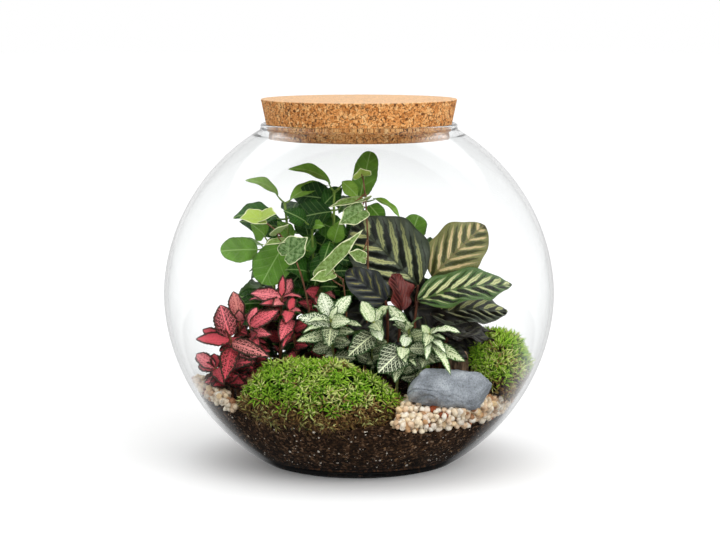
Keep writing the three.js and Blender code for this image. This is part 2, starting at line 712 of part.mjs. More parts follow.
// Dome of a moss cushion.
function mossDome({ centre, reach, floor, top, tilt }, grow = 0) {
  const points = [new THREE.Vector3(...centre, top + grow)];
  for (let ring = 1; ring <= MOSS_ROWS; ring += 1) {
    const share = Math.sin((Math.PI / 2) * (ring / MOSS_ROWS));
    for (let i = 0; i < MOSS_AROUND; i += 1) {
      const angle = (2 * Math.PI * i) / MOSS_AROUND;
      const swell = 1 + 0.05 * Math.sin(3 * angle) + 0.04 * Math.cos(5 * angle + 1);
      const x = (reach[0] * swell + grow) * share * Math.cos(angle);
      const y = (reach[1] * swell + grow) * share * Math.sin(angle);
      const rise = (top + tilt * x + grow - floor) * domeShare(share);
      points.push(new THREE.Vector3(centre[0] + x, centre[1] + y, floor + rise));
    }
  }
  const rimStart = points.length - MOSS_AROUND;
  for (let i = 0; i < MOSS_AROUND; i += 1) {
    const above = points[rimStart + i];
    points.push(new THREE.Vector3(above.x, above.y, floor - MOSS_SKIRT));
  }
  points.push(new THREE.Vector3(...centre, floor - MOSS_SKIRT));
  const last = points.length - 1;
  const faces = [];
  for (let i = 0; i < MOSS_AROUND; i += 1) {
    const next = (i + 1) % MOSS_AROUND;
    faces.push([0, 1 + i, 1 + next]);
    for (let ring = 0; ring < MOSS_ROWS; ring += 1) {
      const a = 1 + ring * MOSS_AROUND;
      const b = a + MOSS_AROUND;
      faces.push([a + i, b + i, b + next], [a + i, b + next, a + next]);
    }
    faces.push([last, last - MOSS_AROUND + next, last - MOSS_AROUND + i]);
  }
  return solidOf(indexed(points, faces));
}

// Tufts stand out of the dome all over in a golden-angle spiral, but not near its foot.
function mossTufts({ centre, reach, floor, top, tilt, tuft }) {
  const turn = Math.PI * (3 - Math.sqrt(5));
  const cones = [];
  for (let i = 0; i < tuft.count; i += 1) {
    const share = 0.97 * Math.sqrt((i + 0.5) / tuft.count);
    const angle = i * turn;
    const x = reach[0] * share * Math.cos(angle);
    const y = reach[1] * share * Math.sin(angle);
    const height = floor + (top + tilt * x - floor) * domeShare(share);
    const place = new THREE.Vector3(centre[0] + x, centre[1] + y, height - 1);
    const lean = new THREE.Vector3(
      x / reach[0] + TUFT_LEAN * (random() - 0.5),
      y / reach[1] + TUFT_LEAN * (random() - 0.5),
      1.1 - 0.6 * share,
    ).normalize();
    const size = tuft.length * (0.75 + 0.5 * random());
    if (height > soilHeight(place.x, place.y) + TUFT_CLEARANCE) {
      const cone = new THREE.ConeGeometry(tuft.radius, size * 1.5, TUFT_SIDES);
      cone.applyQuaternion(new THREE.Quaternion().setFromUnitVectors(new THREE.Vector3(0, 1, 0), lean));
      cone.translate(...place.addScaledVector(lean, size * 0.3).toArray());
      cones.push(solidOf(cone));
    }
  }
  return Manifold.union(cones);
}

function insideOutline([x, y], outline) {
  let inside = false;
  outline.forEach(([x1, y1], i) => {
    const [x2, y2] = outline[(i + outline.length - 1) % outline.length];
    if ((y1 > y) !== (y2 > y) && x < ((x2 - x1) * (y - y1)) / (y2 - y1) + x1) {
      inside = !inside;
    }
  });
  return inside;
}

// Gravel bed in a plan outline, with pebbles standing out of its top.
function gravelBed(outline) {
  const shape = new THREE.Shape(outline.map(([x, y]) => new THREE.Vector2(x, y)));
  const slab = solidOf(new THREE.ExtrudeGeometry(shape, { depth: GRAVEL_CEILING, bevelEnabled: false }));
  const pebbles = [];
  const row = PEBBLE_SPACING * Math.sqrt(0.75);
  for (let j = 0; j * row < 2 * GROUND_SPAN; j += 1) {
    for (let i = 0; i * PEBBLE_SPACING < 2 * GROUND_SPAN; i += 1) {
      const x = -GROUND_SPAN + (i + (j % 2) / 2 + PEBBLE_SCATTER * (random() - 0.5)) * PEBBLE_SPACING;
      const y = -GROUND_SPAN + (j + PEBBLE_SCATTER * (random() - 0.5)) * row;
      const size = PEBBLE_RADIUS * (0.8 + 0.35 * random());
      const turn = new THREE.Euler(6 * random(), 6 * random(), 6 * random());
      if (insideOutline([x, y], outline)) {
        const pebble = new THREE.OctahedronGeometry(size, 0).scale(1, 0.9, 0.8);
        pebble.applyQuaternion(new THREE.Quaternion().setFromEuler(turn));
        pebbles.push(solidOf(pebble.translate(x, y, gravelHeight(x, y) + PEBBLE_LIFT)));
      }
    }
  }
  return Manifold.union([slab.intersect(blockUnder(gravelHeight)), ...pebbles]);
}

// Rounded stone, flatter on its upper face, leaning back.
function slateStone(grow = 0) {
  const stone = new THREE.SphereGeometry(1, 14, 8).rotateX(Math.PI / 2);
  const place = stone.getAttribute('position');
  for (let i = 0; i < place.count; i += 1) {
    const p = new THREE.Vector3().fromBufferAttribute(place, i);
    const swell = 1 + 0.06 * Math.sin(4 * p.x + 2 * p.y) - 0.05 * Math.cos(5 * p.z + 2 * p.x);
    const flat = p.toArray().map((c) => Math.sign(c) * Math.abs(c) ** 0.8);
    place.setXYZ(
      i,
      flat[0] * (STONE.radii[0] * swell + grow),
      flat[1] * (STONE.radii[1] * swell + grow),
      flat[2] * (STONE.radii[2] * swell + grow),
    );
  }
  stone.rotateX(THREE.MathUtils.degToRad(-STONE.lean)).rotateZ(THREE.MathUtils.degToRad(STONE.turn));
  return solidOf(stone.translate(...STONE.centre));
}

function barkChip(grow = 0) {
  const chip = new THREE.BoxGeometry(...BARK.size.map((c) => c + 2 * grow), 3, 2, 2);
  const place = chip.getAttribute('position');
  for (let i = 0; i < place.count; i += 1) {
    const p = new THREE.Vector3().fromBufferAttribute(place, i);
    const rough = 1 + 0.12 * Math.sin(0.9 * p.x + 1.3 * p.y) * Math.cos(0.8 * p.z);
    place.setXYZ(i, p.x * rough, p.y * rough * (1 - 0.02 * Math.abs(p.x)), p.z * (1 - 0.03 * Math.abs(p.x)));
  }
  chip.rotateZ(THREE.MathUtils.degToRad(BARK.turn));
  return solidOf(chip.translate(...BARK.centre));
}

addPiece('glass_bowl', glassBowl(), FINISHES.glass);
addPiece('cork_lid', corkLid(), FINISHES.cork, [0, 0, LID_BOTTOM]);

const holes = stemHoles([
  ...[...RED_FITTONIA, ...WHITE_FITTONIA].map(({ root }) => ({ root, radius: FITTONIA_STEM })),
  ...COFFEE.map(({ root }) => ({ root, radius: COFFEE_STEM })),
  ...IVY.map(({ root }) => ({ root, radius: IVY_STEM })),
  ...CALATHEA.map(({ root }) => ({ root, radius: CALATHEA_STALK })),
]);
const room = roomInside();
const soilWithGap = blockUnder(soilHeight, GAP);
const [overDrain, drain] = room.splitByPlane([0, 0, 1], DRAIN_HEIGHT);
const soil = overDrain.trimByPlane([0, 0, 1], DRAIN_HEIGHT + GAP).intersect(blockUnder(soilHeight));
addPiece('drainage_granules', drain, FINISHES.granules);
addPiece('soil', soil.subtract(holes), FINISHES.soil);

addPiece('slate_stone', slateStone(), FINISHES.slate, STONE.centre);
addPiece('bark_chip', barkChip().subtract(soilWithGap), FINISHES.bark, BARK.centre);
const stones = slateStone(GAP).add(barkChip(GAP));
const underMoss = soilWithGap.add(stones).add(holes);
const mossWithGap = Object.values(MOSS).map((cushion) => mossDome(cushion, 2 * GAP));
Object.entries(MOSS).forEach(([side, cushion]) => {
  const moss = mossDome(cushion).add(mossTufts(cushion)).intersect(room).subtract(underMoss);
  addPiece(`moss_${side}`, moss, FINISHES.moss, [...cushion.centre, cushion.floor]);
});
const underGravel = underMoss.add(Manifold.union(mossWithGap));
Object.entries(GRAVEL).forEach(([side, outline]) => {
  const spread = gravelBed(outline).intersect(room).subtract(underGravel);
  const whole = spread.decompose().sort((a, b) => b.volume() - a.volume())[0];
  addPiece(`gravel_${side}`, whole, FINISHES.gravel);
});

RED_FITTONIA.forEach((plant, i) => addFittonia(`red_fittonia_${i + 1}`, plant, FINISHES.red));
WHITE_FITTONIA.forEach((plant, i) => addFittonia(`white_fittonia_${i + 1}`, plant, FINISHES.white));
COFFEE.forEach((plant, i) => {
  addStalked(`coffee_seedling_${i + 1}`, plant, COFFEE_STEM, COFFEE_STALK, FINISHES.coffee);
});
IVY.forEach((plant, i) => addStalked(`ivy_stem_${i + 1}`, plant, IVY_STEM, IVY_STALK, FINISHES.ivy));
CALATHEA.forEach((leaf, i) => addCalathea(`calathea_leaf_${i + 1}`, leaf));

export default terrarium;
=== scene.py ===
# %% [markdown]
# A closed glass terrarium: a blown globe with a cork lid, planted with coffee seedlings, ivy, calathea,
# red and white nerve plants, moss, pebbles, slate and bark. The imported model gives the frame, its nodes
# and its box. Every piece below is worked out in millimetres with numpy and put into a mesh in metres.

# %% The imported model
import math
from functools import partial

import bpy
import numpy as np
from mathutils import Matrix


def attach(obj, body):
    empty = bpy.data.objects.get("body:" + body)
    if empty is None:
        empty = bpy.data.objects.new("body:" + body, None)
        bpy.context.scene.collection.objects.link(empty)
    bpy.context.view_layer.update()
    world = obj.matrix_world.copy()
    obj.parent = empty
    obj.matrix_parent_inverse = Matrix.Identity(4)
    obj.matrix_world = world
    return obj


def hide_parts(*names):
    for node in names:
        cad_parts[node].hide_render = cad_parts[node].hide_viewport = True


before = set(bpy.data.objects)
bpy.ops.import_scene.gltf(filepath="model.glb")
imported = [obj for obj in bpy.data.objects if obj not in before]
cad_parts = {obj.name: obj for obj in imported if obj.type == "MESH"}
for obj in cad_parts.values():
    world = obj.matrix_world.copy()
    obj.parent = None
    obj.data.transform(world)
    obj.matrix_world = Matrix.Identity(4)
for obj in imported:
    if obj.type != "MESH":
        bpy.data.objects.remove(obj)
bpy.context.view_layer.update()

MM = 0.001
rng = np.random.default_rng(11)
print("nodes:", len(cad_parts))

# %% [markdown]
# Colours are picked as sRGB hex values, the way a colour picker shows them. Blender computes in linear
# light, so one function converts them.

# %% Colour
def linear(code):
    """Linear RGBA of an sRGB hex code: v / 12.92 below 0.04045, else ((v + 0.055) / 1.055) ** 2.4."""
    srgb = np.array([int(code[i:i + 2], 16) for i in (0, 2, 4)]) / 255
    light = np.where(srgb <= 0.04045, srgb / 12.92, ((srgb + 0.055) / 1.055) ** 2.4)
    return (*light.tolist(), 1.0)


print("mid grey in linear light:", round(linear("808080")[0], 3))

# %% [markdown]
# A material is a small graph. One helper adds a node: its sockets take a value, a colour's hex code, an
# output of an earlier node, or the node itself, which stands for the first output it has in use. Settings
# are keyword arguments, and a colour ramp also takes its stops. Some sockets go by number: in a mix of
# colours 0 is the factor and 6 and 7 are the colours, and in a sum 0, 1 and 2 are its numbers in order.
# Scales are worked out from millimetres: 0.9 / MM is 0.9 waves a millimetre, and 1 / (2.3 * MM) is one cell
# every 2.3 mm.

# %% Material helper
def add_node(tree, kind, sockets=None, stops=None, **settings):
    """Adds a node, sets or links its sockets, and gives a colour ramp its (position, hex) stops."""
    node = tree.nodes.new("ShaderNode" + kind)
    for key, value in settings.items():
        setattr(node, key, value)
    for key, value in (sockets or {}).items():
        if isinstance(value, bpy.types.Node):
            value = next(output for output in value.outputs if output.enabled)
        if isinstance(value, str):
            value = linear(value)
        if isinstance(value, bpy.types.NodeSocket):
            tree.links.new(value, node.inputs[key])
        else:
            node.inputs[key].default_value = value
    if stops:
        ramp = node.color_ramp
        while len(ramp.elements) < len(stops):
            ramp.elements.new(0.5)
        for element, (position, code) in zip(ramp.elements, stops):
            element.position, element.color = position, linear(code)
    return node


def new_material(name):
    """An empty material, and the function that adds nodes to its tree."""
    material = bpy.data.materials.new(name)
    material.use_nodes = True
    material.node_tree.nodes.clear()
    return material, partial(add_node, material.node_tree)


def finish_material(material, shader):
    """Links the finished shader to the surface output."""
    add_node(material.node_tree, "OutputMaterial", {"Surface": shader})
    print("material", material.name, len(material.node_tree.nodes), "nodes")
    return material


print("red in linear light:", linear("ff0000"))

# %% [markdown]
# Every shape here is a surface: an array of points and an array of triangles. A grid of points gives its
# triangles by rule, and a closed surface is turned so that its volume is positive, which puts its faces
# outwards. Surfaces also carry three vectors per point that the materials read: `place` says where on a
# leaf the point is, `vein` where it lies in the leaf's pattern, and `tone` how old and how light it is.

# %% Surfaces
def unit(vectors):
    """Vectors divided by their lengths along the last axis."""
    vectors = np.asarray(vectors, float)
    return vectors / (np.linalg.norm(vectors, axis=-1, keepdims=True) + 1e-12)


def grid_triangles(rows, columns, wrap=False):
    """Two triangles for each cell of a rows x columns grid; wrap joins the last column to the first."""
    index = np.arange(rows * columns).reshape(rows, columns)
    right = np.roll(index, -1, axis=1)
    cells = slice(None) if wrap else slice(None, -1)
    a, b = index[:-1, cells], right[:-1, cells]
    c, d = right[1:, cells], index[1:, cells]
    return np.concatenate([np.stack([a, b, c], -1).reshape(-1, 3), np.stack([a, c, d], -1).reshape(-1, 3)])


def surface(points, triangles, place=None, vein=None, tone=None, material=0):
    """A closed surface, turned so that the sum of its corner triple products is positive."""
    p, q, r = (points[triangles[:, k]] for k in range(3))
    if np.einsum("ij,ij->", p, np.cross(q, r)) < 0:
        triangles = triangles[:, ::-1]
    empty = np.zeros_like(points)
    vectors = [empty if v is None else np.broadcast_to(v, points.shape) for v in (place, vein, tone)]
    return {"points": points, "triangles": triangles, "vectors": vectors, "material": material}


def make_piece(name, surfaces, materials, nodes):
    """One smooth-shaded object from many surfaces, riding on the body and standing for the CAD nodes."""
    counts = [len(s["points"]) for s in surfaces]
    starts = np.cumsum([0] + counts[:-1])
    points = np.concatenate([s["points"] for s in surfaces]) * MM
    triangles = np.concatenate([s["triangles"] + k for s, k in zip(surfaces, starts)])
    slots = np.concatenate([np.full(len(s["triangles"]), s["material"]) for s in surfaces])
    mesh = bpy.data.meshes.new(name)
    mesh.vertices.add(len(points))
    mesh.vertices.foreach_set("co", points.astype(np.float32).ravel())
    mesh.loops.add(triangles.size)
    mesh.loops.foreach_set("vertex_index", triangles.astype(np.int32).ravel())
    mesh.polygons.add(len(triangles))
    mesh.polygons.foreach_set("loop_start", np.arange(0, triangles.size, 3, dtype=np.int32))
    mesh.polygons.foreach_set("use_smooth", np.ones(len(triangles), bool))
    for material in materials:
        mesh.materials.append(material)
    mesh.polygons.foreach_set("material_index", slots.astype(np.int32))
    for k, title in enumerate(("place", "vein", "tone")):
        values = np.concatenate([s["vectors"][k] for s in surfaces]).astype(np.float32)
        if values.any():
            mesh.attributes.new(title, "FLOAT_VECTOR", "POINT").data.foreach_set("vector", values.ravel())
    mesh.update(calc_edges=True)
    thing = bpy.data.objects.new(name, mesh)
    bpy.context.scene.collection.objects.link(thing)
    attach(thing, "root")
    if nodes:
        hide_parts(*nodes)
    print(name, len(triangles), "triangles")


print("a grid of 2 x 2 points has", len(grid_triangles(2, 2)), "triangles")

# %% [markdown]
# Natural surfaces are uneven at several sizes. Value noise does that: random numbers sit on a lattice and
# are blended smoothly between its corners. It is computed for whole arrays of points at once.

# %% Noise
LATTICE_SIZE, SEED_STEP = 32, 7.31
LATTICE = rng.random((LATTICE_SIZE, LATTICE_SIZE, LATTICE_SIZE))


def noise(points, size, seed=0.0):
    """Value noise from -1 to 1: lattice numbers blended by 3f^2 - 2f^3 between corners `size` apart."""
    scaled = np.asarray(points, float) / size + seed * SEED_STEP
    corner = np.floor(scaled).astype(int)
    f = scaled - corner
    f = f * f * (3 - 2 * f)
    total = 0
    for dx in (0, 1):
        for dy in (0, 1):
            for dz in (0, 1):
                weight = 1
                for axis, d in enumerate((dx, dy, dz)):
                    weight = weight * (f[..., axis] if d else 1 - f[..., axis])
                i, j, k = (np.mod(corner[..., axis] + d, LATTICE_SIZE) for axis, d in enumerate((dx, dy, dz)))
                total = total + weight * LATTICE[i, j, k]
    return 2 * total - 1


print("noise sample:", round(float(noise([[1.0, 2.0, 3.0]], 2.5)[0]), 3))

# %% [markdown]
# Three kinds of surface cover nearly everything. A turned shape carries a profile round the axis. A tube
# carries a circle along a path. A leaf is a thin sheet with a face on each side and a closed rim.

# %% Turned shapes, tubes and sheets
def turned(profile, around=128):
    """Profile (radius, height) points turned round the Z axis; both ends lie on the axis."""
    radius, height = np.array(profile[1:-1], float).T
    angle = 2 * np.pi * np.arange(around) / around
    rings = np.stack([
        radius[:, None] * np.cos(angle),
        radius[:, None] * np.sin(angle),
        height[:, None] + 0 * angle,
    ], -1)
    ends = np.array([[0, 0, profile[0][1]], [0, 0, profile[-1][1]]], float)
    return cap_rings(rings, ends)


def cap_rings(rings, ends):
    """Closes a stack of rings with a point at each end."""
    rows, columns = rings.shape[:2]
    body = grid_triangles(rows, columns, wrap=True)
    here, following = np.arange(columns), (np.arange(columns) + 1) % columns
    low, high, last = rows * columns, rows * columns + 1, (rows - 1) * columns
    foot = np.stack([here * 0 + low, following, here], -1)
    head = np.stack([here * 0 + high, last + here, last + following], -1)
    return np.concatenate([rings.reshape(-1, 3), ends]), np.concatenate([body, foot, head])


def tube(path, radius, sides=8):
    """Circle of the given radius carried along a path, square to its direction, and closed at the ends."""
    path = np.asarray(path, float)
    along = unit(np.gradient(path, axis=0))
    level = np.eye(3)[np.argmin(np.abs(along.mean(0)))]
    side = unit(np.cross(along, level))
    up = np.cross(side, along)
    angle = 2 * np.pi * np.arange(sides) / sides
    radius = np.broadcast_to(np.asarray(radius, float), len(path))[:, None, None]
    circle = np.cos(angle)[:, None] * side[:, None] + np.sin(angle)[:, None] * up[:, None]
    return cap_rings(path[:, None] + radius * circle, path[[0, -1]])


def sheet(middle, thickness):
    """Closed sheet: a rows x columns middle surface moved half the thickness out along its normals."""
    rows, columns = middle.shape[:2]
    down, across = np.gradient(middle, axis=0), np.gradient(middle, axis=1)
    normal = unit(np.cross(across, down))
    half = 0.5 * np.asarray(thickness)[..., None] * normal
    points = np.concatenate([(middle + half).reshape(-1, 3), (middle - half).reshape(-1, 3)])
    face = grid_triangles(rows, columns)
    index = np.arange(rows * columns).reshape(rows, columns)
    rim = np.concatenate([index[0, :-1], index[:-1, -1], index[-1, :0:-1], index[:0:-1, 0]])
    ahead, under = np.roll(rim, -1), rows * columns
    edge = np.concatenate([
        np.stack([rim, rim + under, ahead + under], -1),
        np.stack([rim, ahead + under, ahead], -1),
    ])
    return points, np.concatenate([face[:, ::-1], face + under, edge])


print("a cone of 8 sides has", len(turned([(0, 0), (1, 0), (0, 1)], 8)[0]), "points")

# %% [markdown]
# The globe is not quite a ball: its belly curve is a little fuller than an ellipse, it has a flat thick
# foot, and the wide mouth ends in a rounded bead. One formula gives its radius at any height and any inset
# from the outside, so the glass, the soil inside it and all that leans on the glass share it.

# %% The globe's curve
GLOBE_RADIUS = 150
EQUATOR_HEIGHT = 131
BELLY_REACH, CROWN_REACH = 149, 147
ROUNDNESS = 1.92
WALL, GAP = 3, 0.3
FOOT_THICKNESS = 5
SHOULDER_HEIGHT, RIM_TOP = 257, 262
RIM_RADIUS, MOUTH_RADIUS = 75.2, 71.5


def globe_radius(height, inset=0.0):
    """(R - inset) * sqrt(1 - |sine| ** 1.92), with the sine of the angle from the equator."""
    rise = np.asarray(height, float) - EQUATOR_HEIGHT
    sine = np.abs(rise) / (np.where(rise < 0, BELLY_REACH, CROWN_REACH) - inset)
    return (GLOBE_RADIUS - inset) * np.sqrt(np.clip(1 - sine ** ROUNDNESS, 0, 1))


def keep_inside(points, clear=0.4):
    """Draws points in towards the axis until they are `clear` short of the inner glass."""
    distance = np.linalg.norm(points[..., :2], axis=-1)
    limit = globe_radius(points[..., 2], WALL) - clear
    share = np.minimum(1, limit / np.maximum(distance, 1e-6))
    return np.concatenate([points[..., :2] * share[..., None], points[..., 2:]], -1)


print("inner radius at the equator:", float(globe_radius(EQUATOR_HEIGHT, WALL)), "mm")

# %% [markdown]
# Soda-lime glass: clear, with a refractive index of 1.52, and greyer where one looks along the wall, since
# the light then passes more glass. It could be a thin reflecting sheet, but a real wall of 3 mm bends the
# view near its edges, which draws the double grey line round a globe. Lamp and diffuse rays pass straight
# through, so that the light inside is soft and free of sparkles.

# %% Blown glass
GLASS_IOR = 1.52
FAINT_BELOW, CLEAR_ABOVE, FAINT = 200, 250, 0.06


def blown_glass():
    """Fire-polished, so roughness 0. Its mirror images are faint up to 200 mm and full above 250 mm."""
    material, add = new_material("blown_soda_lime_glass")
    edge = add("LayerWeight", {"Blend": 0.5})
    tint = add("ValToRGB", {"Fac": edge.outputs["Facing"]}, stops=[
        (0, "feffff"), (0.78, "fcfdfd"), (0.87, "eef0f1"), (0.94, "bcc0c3"), (1, "74787c")])
    place = add("TexCoord").outputs["Object"]
    split = add("SeparateXYZ", {"Vector": place})
    gleam = add("MapRange", {
        "Value": split.outputs["Z"], "From Min": FAINT_BELOW * MM, "From Max": CLEAR_ABOVE * MM,
        "To Min": FAINT})
    glass = add("BsdfPrincipled", {
        "Base Color": tint, "Roughness": 0, "IOR": GLASS_IOR, "Transmission Weight": 1,
        "Specular Tint": gleam})
    clear = add("BsdfTransparent", {"Color": "fdfefe"})
    path = add("LightPath")
    soft = add("Math", {
        0: path.outputs["Is Shadow Ray"], 1: path.outputs["Is Diffuse Ray"]}, operation="MAXIMUM")
    mixed = add("MixShader", {0: soft, 1: glass, 2: clear})
    return finish_material(material, mixed)


# The under side of the foot, from the axis out, as (radius, height): it stands on a ring of 64 to 67 mm.
FOOT_PROFILE = [(0, 0.9), (56, 0.6), (60, 0.15), (64, 0), (67, 0), (68.6, 0.5)]


def glass_profile():
    """Outside from the foot to the shoulder, a bead of 1.9 mm radius at the rim, and the inside back down."""
    outside = np.linspace(2.2, SHOULDER_HEIGHT, 64)
    inside = np.linspace(SHOULDER_HEIGHT - 1, FOOT_THICKNESS + 1.6, 56)
    bead = np.radians(np.linspace(-30, 210, 13))
    middle = (RIM_RADIUS + MOUTH_RADIUS) / 2
    thick = (RIM_RADIUS - MOUTH_RADIUS) / 2 + 0.1
    rows = FOOT_PROFILE + list(zip(globe_radius(outside), outside))
    rows += list(zip(middle + thick * np.cos(bead), RIM_TOP - 2 + thick * np.sin(bead)))
    rows += list(zip(globe_radius(inside, WALL), inside))
    return rows + [(globe_radius(FOOT_THICKNESS, WALL) - 3, FOOT_THICKNESS), (0, FOOT_THICKNESS)]


make_piece("glass_globe", [surface(*turned(glass_profile(), 132))], [blown_glass()],
           ["glass_bowl"])

# %% [markdown]
# The lid is agglomerated cork: granules of 2 to 4 mm of bark pressed together with a binder, then turned
# to a taper and sanded. The sides show cut granules, dark bark specks and small pits. The shape gets real
# pits from noise, and the granules are Voronoi cells of that size.

# %% Agglomerated cork
LID_TOP, LID_BOTTOM = 280.5, 249
LID_TOP_RADIUS, LID_BOTTOM_RADIUS = 75, 68.5
GRANULE_SIZE, SPECK_SIZE = 2.3, 2.1
# Heights over which the plug's painted shade in the glass neck fades out.
NECK_SHADE_BELOW, UNSHADED_ABOVE = 256, 262


def agglomerated_cork():
    """Tint by granule, times fine mottling; dark in some seams and specks, pale on the sanded top."""
    material, add = new_material("agglomerated_cork")
    place = add("TexCoord").outputs["Object"]
    wobble = add("TexNoise", {"Vector": place, "Scale": 0.5 / MM, "Detail": 2.0})
    shifted = add("VectorMath", {
        0: wobble.outputs["Color"], 1: (1.6 * MM,) * 3, 2: place}, operation="MULTIPLY_ADD")
    grains = add("TexVoronoi", {"Vector": shifted, "Scale": 1 / (GRANULE_SIZE * MM)})
    tint = add("ValToRGB", {"Fac": grains.outputs["Color"]}, stops=[
        (0, "b06e2c"), (0.25, "de9a54"), (0.5, "eeae68"), (0.75, "f8c380"), (1, "ffd89e")])
    fine = add("TexNoise", {"Vector": place, "Scale": 0.9 / MM, "Detail": 5.0, "Roughness": 0.7})
    mottle = add("ValToRGB", {"Fac": fine}, stops=[(0.3, "482406"), (0.44, "c89a62"), (0.56, "fffaf4")])
    warm = add("Mix", {0: 0.75, 6: tint, 7: mottle.outputs["Color"]}, data_type="RGBA", blend_type="MULTIPLY")
    gaps = add("TexVoronoi", {
        "Vector": shifted, "Scale": 1 / (GRANULE_SIZE * MM)}, feature="DISTANCE_TO_EDGE")
    patchy = add("TexNoise", {"Vector": place, "Scale": 0.48 / MM, "Detail": 2.0})
    depth = add("Math", {0: patchy, 1: -0.6, 2: gaps.outputs["Distance"]}, operation="MULTIPLY_ADD")
    crevice = add("MapRange", {
        "Value": depth, "From Min": -0.29, "From Max": -0.25, "To Min": 0.9, "To Max": 0})
    cut = add("Mix", {0: crevice, 6: warm, 7: "4e2a10"}, data_type="RGBA")
    specks = add("TexVoronoi", {"Vector": shifted, "Scale": 1 / (SPECK_SIZE * MM)})
    dark = add("ValToRGB", {"Fac": specks.outputs["Color"]}, stops=[
        (0, "000000"), (0.86, "000000"), (0.9, "ffffff")])
    bark = add("Mix", {0: dark, 6: cut, 7: "6b3d18"}, data_type="RGBA")
    split = add("SeparateXYZ", {"Vector": place})
    sanded = add("MapRange", {
        "Value": split.outputs["Z"], "From Min": (LID_TOP - 0.8) * MM, "From Max": (LID_TOP - 0.2) * MM,
        "To Max": 0.55})
    top = add("Mix", {0: sanded, 6: bark, 7: "f6d5ae"}, data_type="RGBA")
    # Painted shade: below the glass rim the plug's colour is multiplied down to 0.62, as the neck shades it.
    neck_shade = add("MapRange", {
        "Value": split.outputs["Z"], "From Min": NECK_SHADE_BELOW * MM, "From Max": UNSHADED_ABOVE * MM, "To Min": 0.62})
    neck_shaded = add("Mix", {0: 1, 6: top, 7: neck_shade}, data_type="RGBA", blend_type="MULTIPLY")
    bump = add("Bump", {"Height": fine, "Strength": 0.5, "Distance": 0.6 * MM})
    cork = add("BsdfPrincipled", {"Base Color": neck_shaded, "Roughness": 0.88, "Normal": bump})
    return finish_material(material, cork)


def cork_lid():
    """Tapered plug with 0.8 mm rounded edges; noise cuts pits up to 0.5 mm deep into its skin."""
    side = np.linspace(0, 1, 30)[1:-1]
    widths = LID_BOTTOM_RADIUS + (LID_TOP_RADIUS - LID_BOTTOM_RADIUS) * side
    heights = LID_BOTTOM + (LID_TOP - LID_BOTTOM) * side
    bevel = np.array([[0.8, 0], [0.25, 0.25], [0, 0.8]])
    rows = [(0, LID_BOTTOM), (LID_BOTTOM_RADIUS * 0.5, LID_BOTTOM)]
    rows += [(LID_BOTTOM_RADIUS - x, LID_BOTTOM + z) for x, z in bevel]
    rows += list(zip(widths, heights))
    rows += [(LID_TOP_RADIUS - x, LID_TOP - z) for x, z in bevel[::-1]]
    rows += [(r, LID_TOP) for r in np.linspace(LID_TOP_RADIUS - 2.5, 4, 26)] + [(0, LID_TOP)]
    points, triangles = turned(rows, 220)
    pores = np.clip(noise(points, 2.2) * noise(points, 1.3, 3) - 0.12, 0, 0.5)
    pit = 1.6 * pores + 0.12 * (noise(points, 1.6, 5) + 1)
    middle = np.array([0, 0, (LID_TOP + LID_BOTTOM) / 2])
    flat = (points[:, 2] > LID_TOP - 0.1)[:, None]
    inward = np.where(flat, [0, 0, -0.3], unit((middle - points) * [1, 1, 0.3]))
    return points + pit[:, None] * inward, triangles


make_piece("cork_plug", [surface(*cork_lid())], [agglomerated_cork()], ["cork_lid"])

# %% [markdown]
# Pebbles, clay granules and perlite are all worn grains. One function makes any number of them at once:
# directions on a ball are swollen by two slow cosine waves, stretched to three half axes, turned and moved.
# Each grain has under a hundred faces, because there are hundreds of them.

# %% Grains
def ball_directions(rows=6, around=8):
    """Unit directions on rings from pole to pole, and the triangles between them."""
    polar = np.pi * (np.arange(rows) + 0.5) / rows
    angle = 2 * np.pi * np.arange(around) / around
    rings = np.stack([
        np.sin(polar)[:, None] * np.cos(angle),
        np.sin(polar)[:, None] * np.sin(angle),
        np.cos(polar)[:, None] + 0 * angle,
    ], -1)
    return cap_rings(rings, np.array([[0, 0, 1.0], [0, 0, -1.0]]))


def grains(centres, radii, tone, lumps=0.13, **ball):
    """Worn grains: direction * (1 + a cos(2.3 d.w) + a cos(3.6 d.v)) * half axes, turned and moved."""
    directions, triangles = ball_directions(**ball)
    count = len(centres)
    waves = unit(rng.normal(size=(2, count, 3)))
    phase = rng.uniform(0, 6.3, (2, count, 1))
    swell = 1 + sum(lumps * np.cos(f * np.einsum("vk,nk->nv", directions, w) + p)
                    for f, w, p in zip((2.3, 3.6), waves, phase))
    body = directions * swell[..., None] * radii[:, None]
    first = unit(rng.normal(size=(count, 3)))
    second = unit(np.cross(first, rng.normal(size=(count, 3))))
    turn = np.stack([first, second, np.cross(first, second)], 1)
    points = centres[:, None] + np.einsum("nvk,nkj->nvj", body, turn)
    faces = triangles + (np.arange(count) * len(directions))[:, None, None]
    tones = np.broadcast_to(tone[:, None], points.shape)
    return surface(keep_inside(points).reshape(-1, 3), faces.reshape(-1, 3), tone=tones.reshape(-1, 3))


def random_tone(count):
    """Three random numbers from 0 to 1 for each grain, which the material turns into its colour."""
    return rng.random((count, 3))


print("a pebble has", len(ball_directions(rows=5)[1]), "faces")

# %% [markdown]
# The soil fills the lower third and rises to the back. Where it meets the glass it follows the inside of
# the globe. Potting soil is fibrous and nearly black when moist, with white perlite grains of 1 to 2 mm and
# bits of bark. The body is one closed surface; crumbs and perlite against the glass are real grains.

# %% Soil
DRAIN_HEIGHT = 12
SOIL_FRONT_HEIGHT, SOIL_RISE = 46.5, 16
SOIL_FRONT_Y, SOIL_BACK_Y = -118, -40
SOIL_TILT = 0.02
# Where the soil's line lies higher or lower against the front glass, by place across.
AGAINST_X = (-150, -104, -86, -42, 0, 20, 30, 46, 66, 89, 102, 120)
AGAINST_LIFT = (-2, -2, 5, 4, 2.5, 1, -1, -5, -8, -15, -22, -24)


def smooth(value, low, high):
    """Smooth step: 3f^2 - 2f^3 of the share of the way from low to high."""
    f = np.clip((value - low) / (high - low), 0, 1)
    return f * f * (3 - 2 * f)


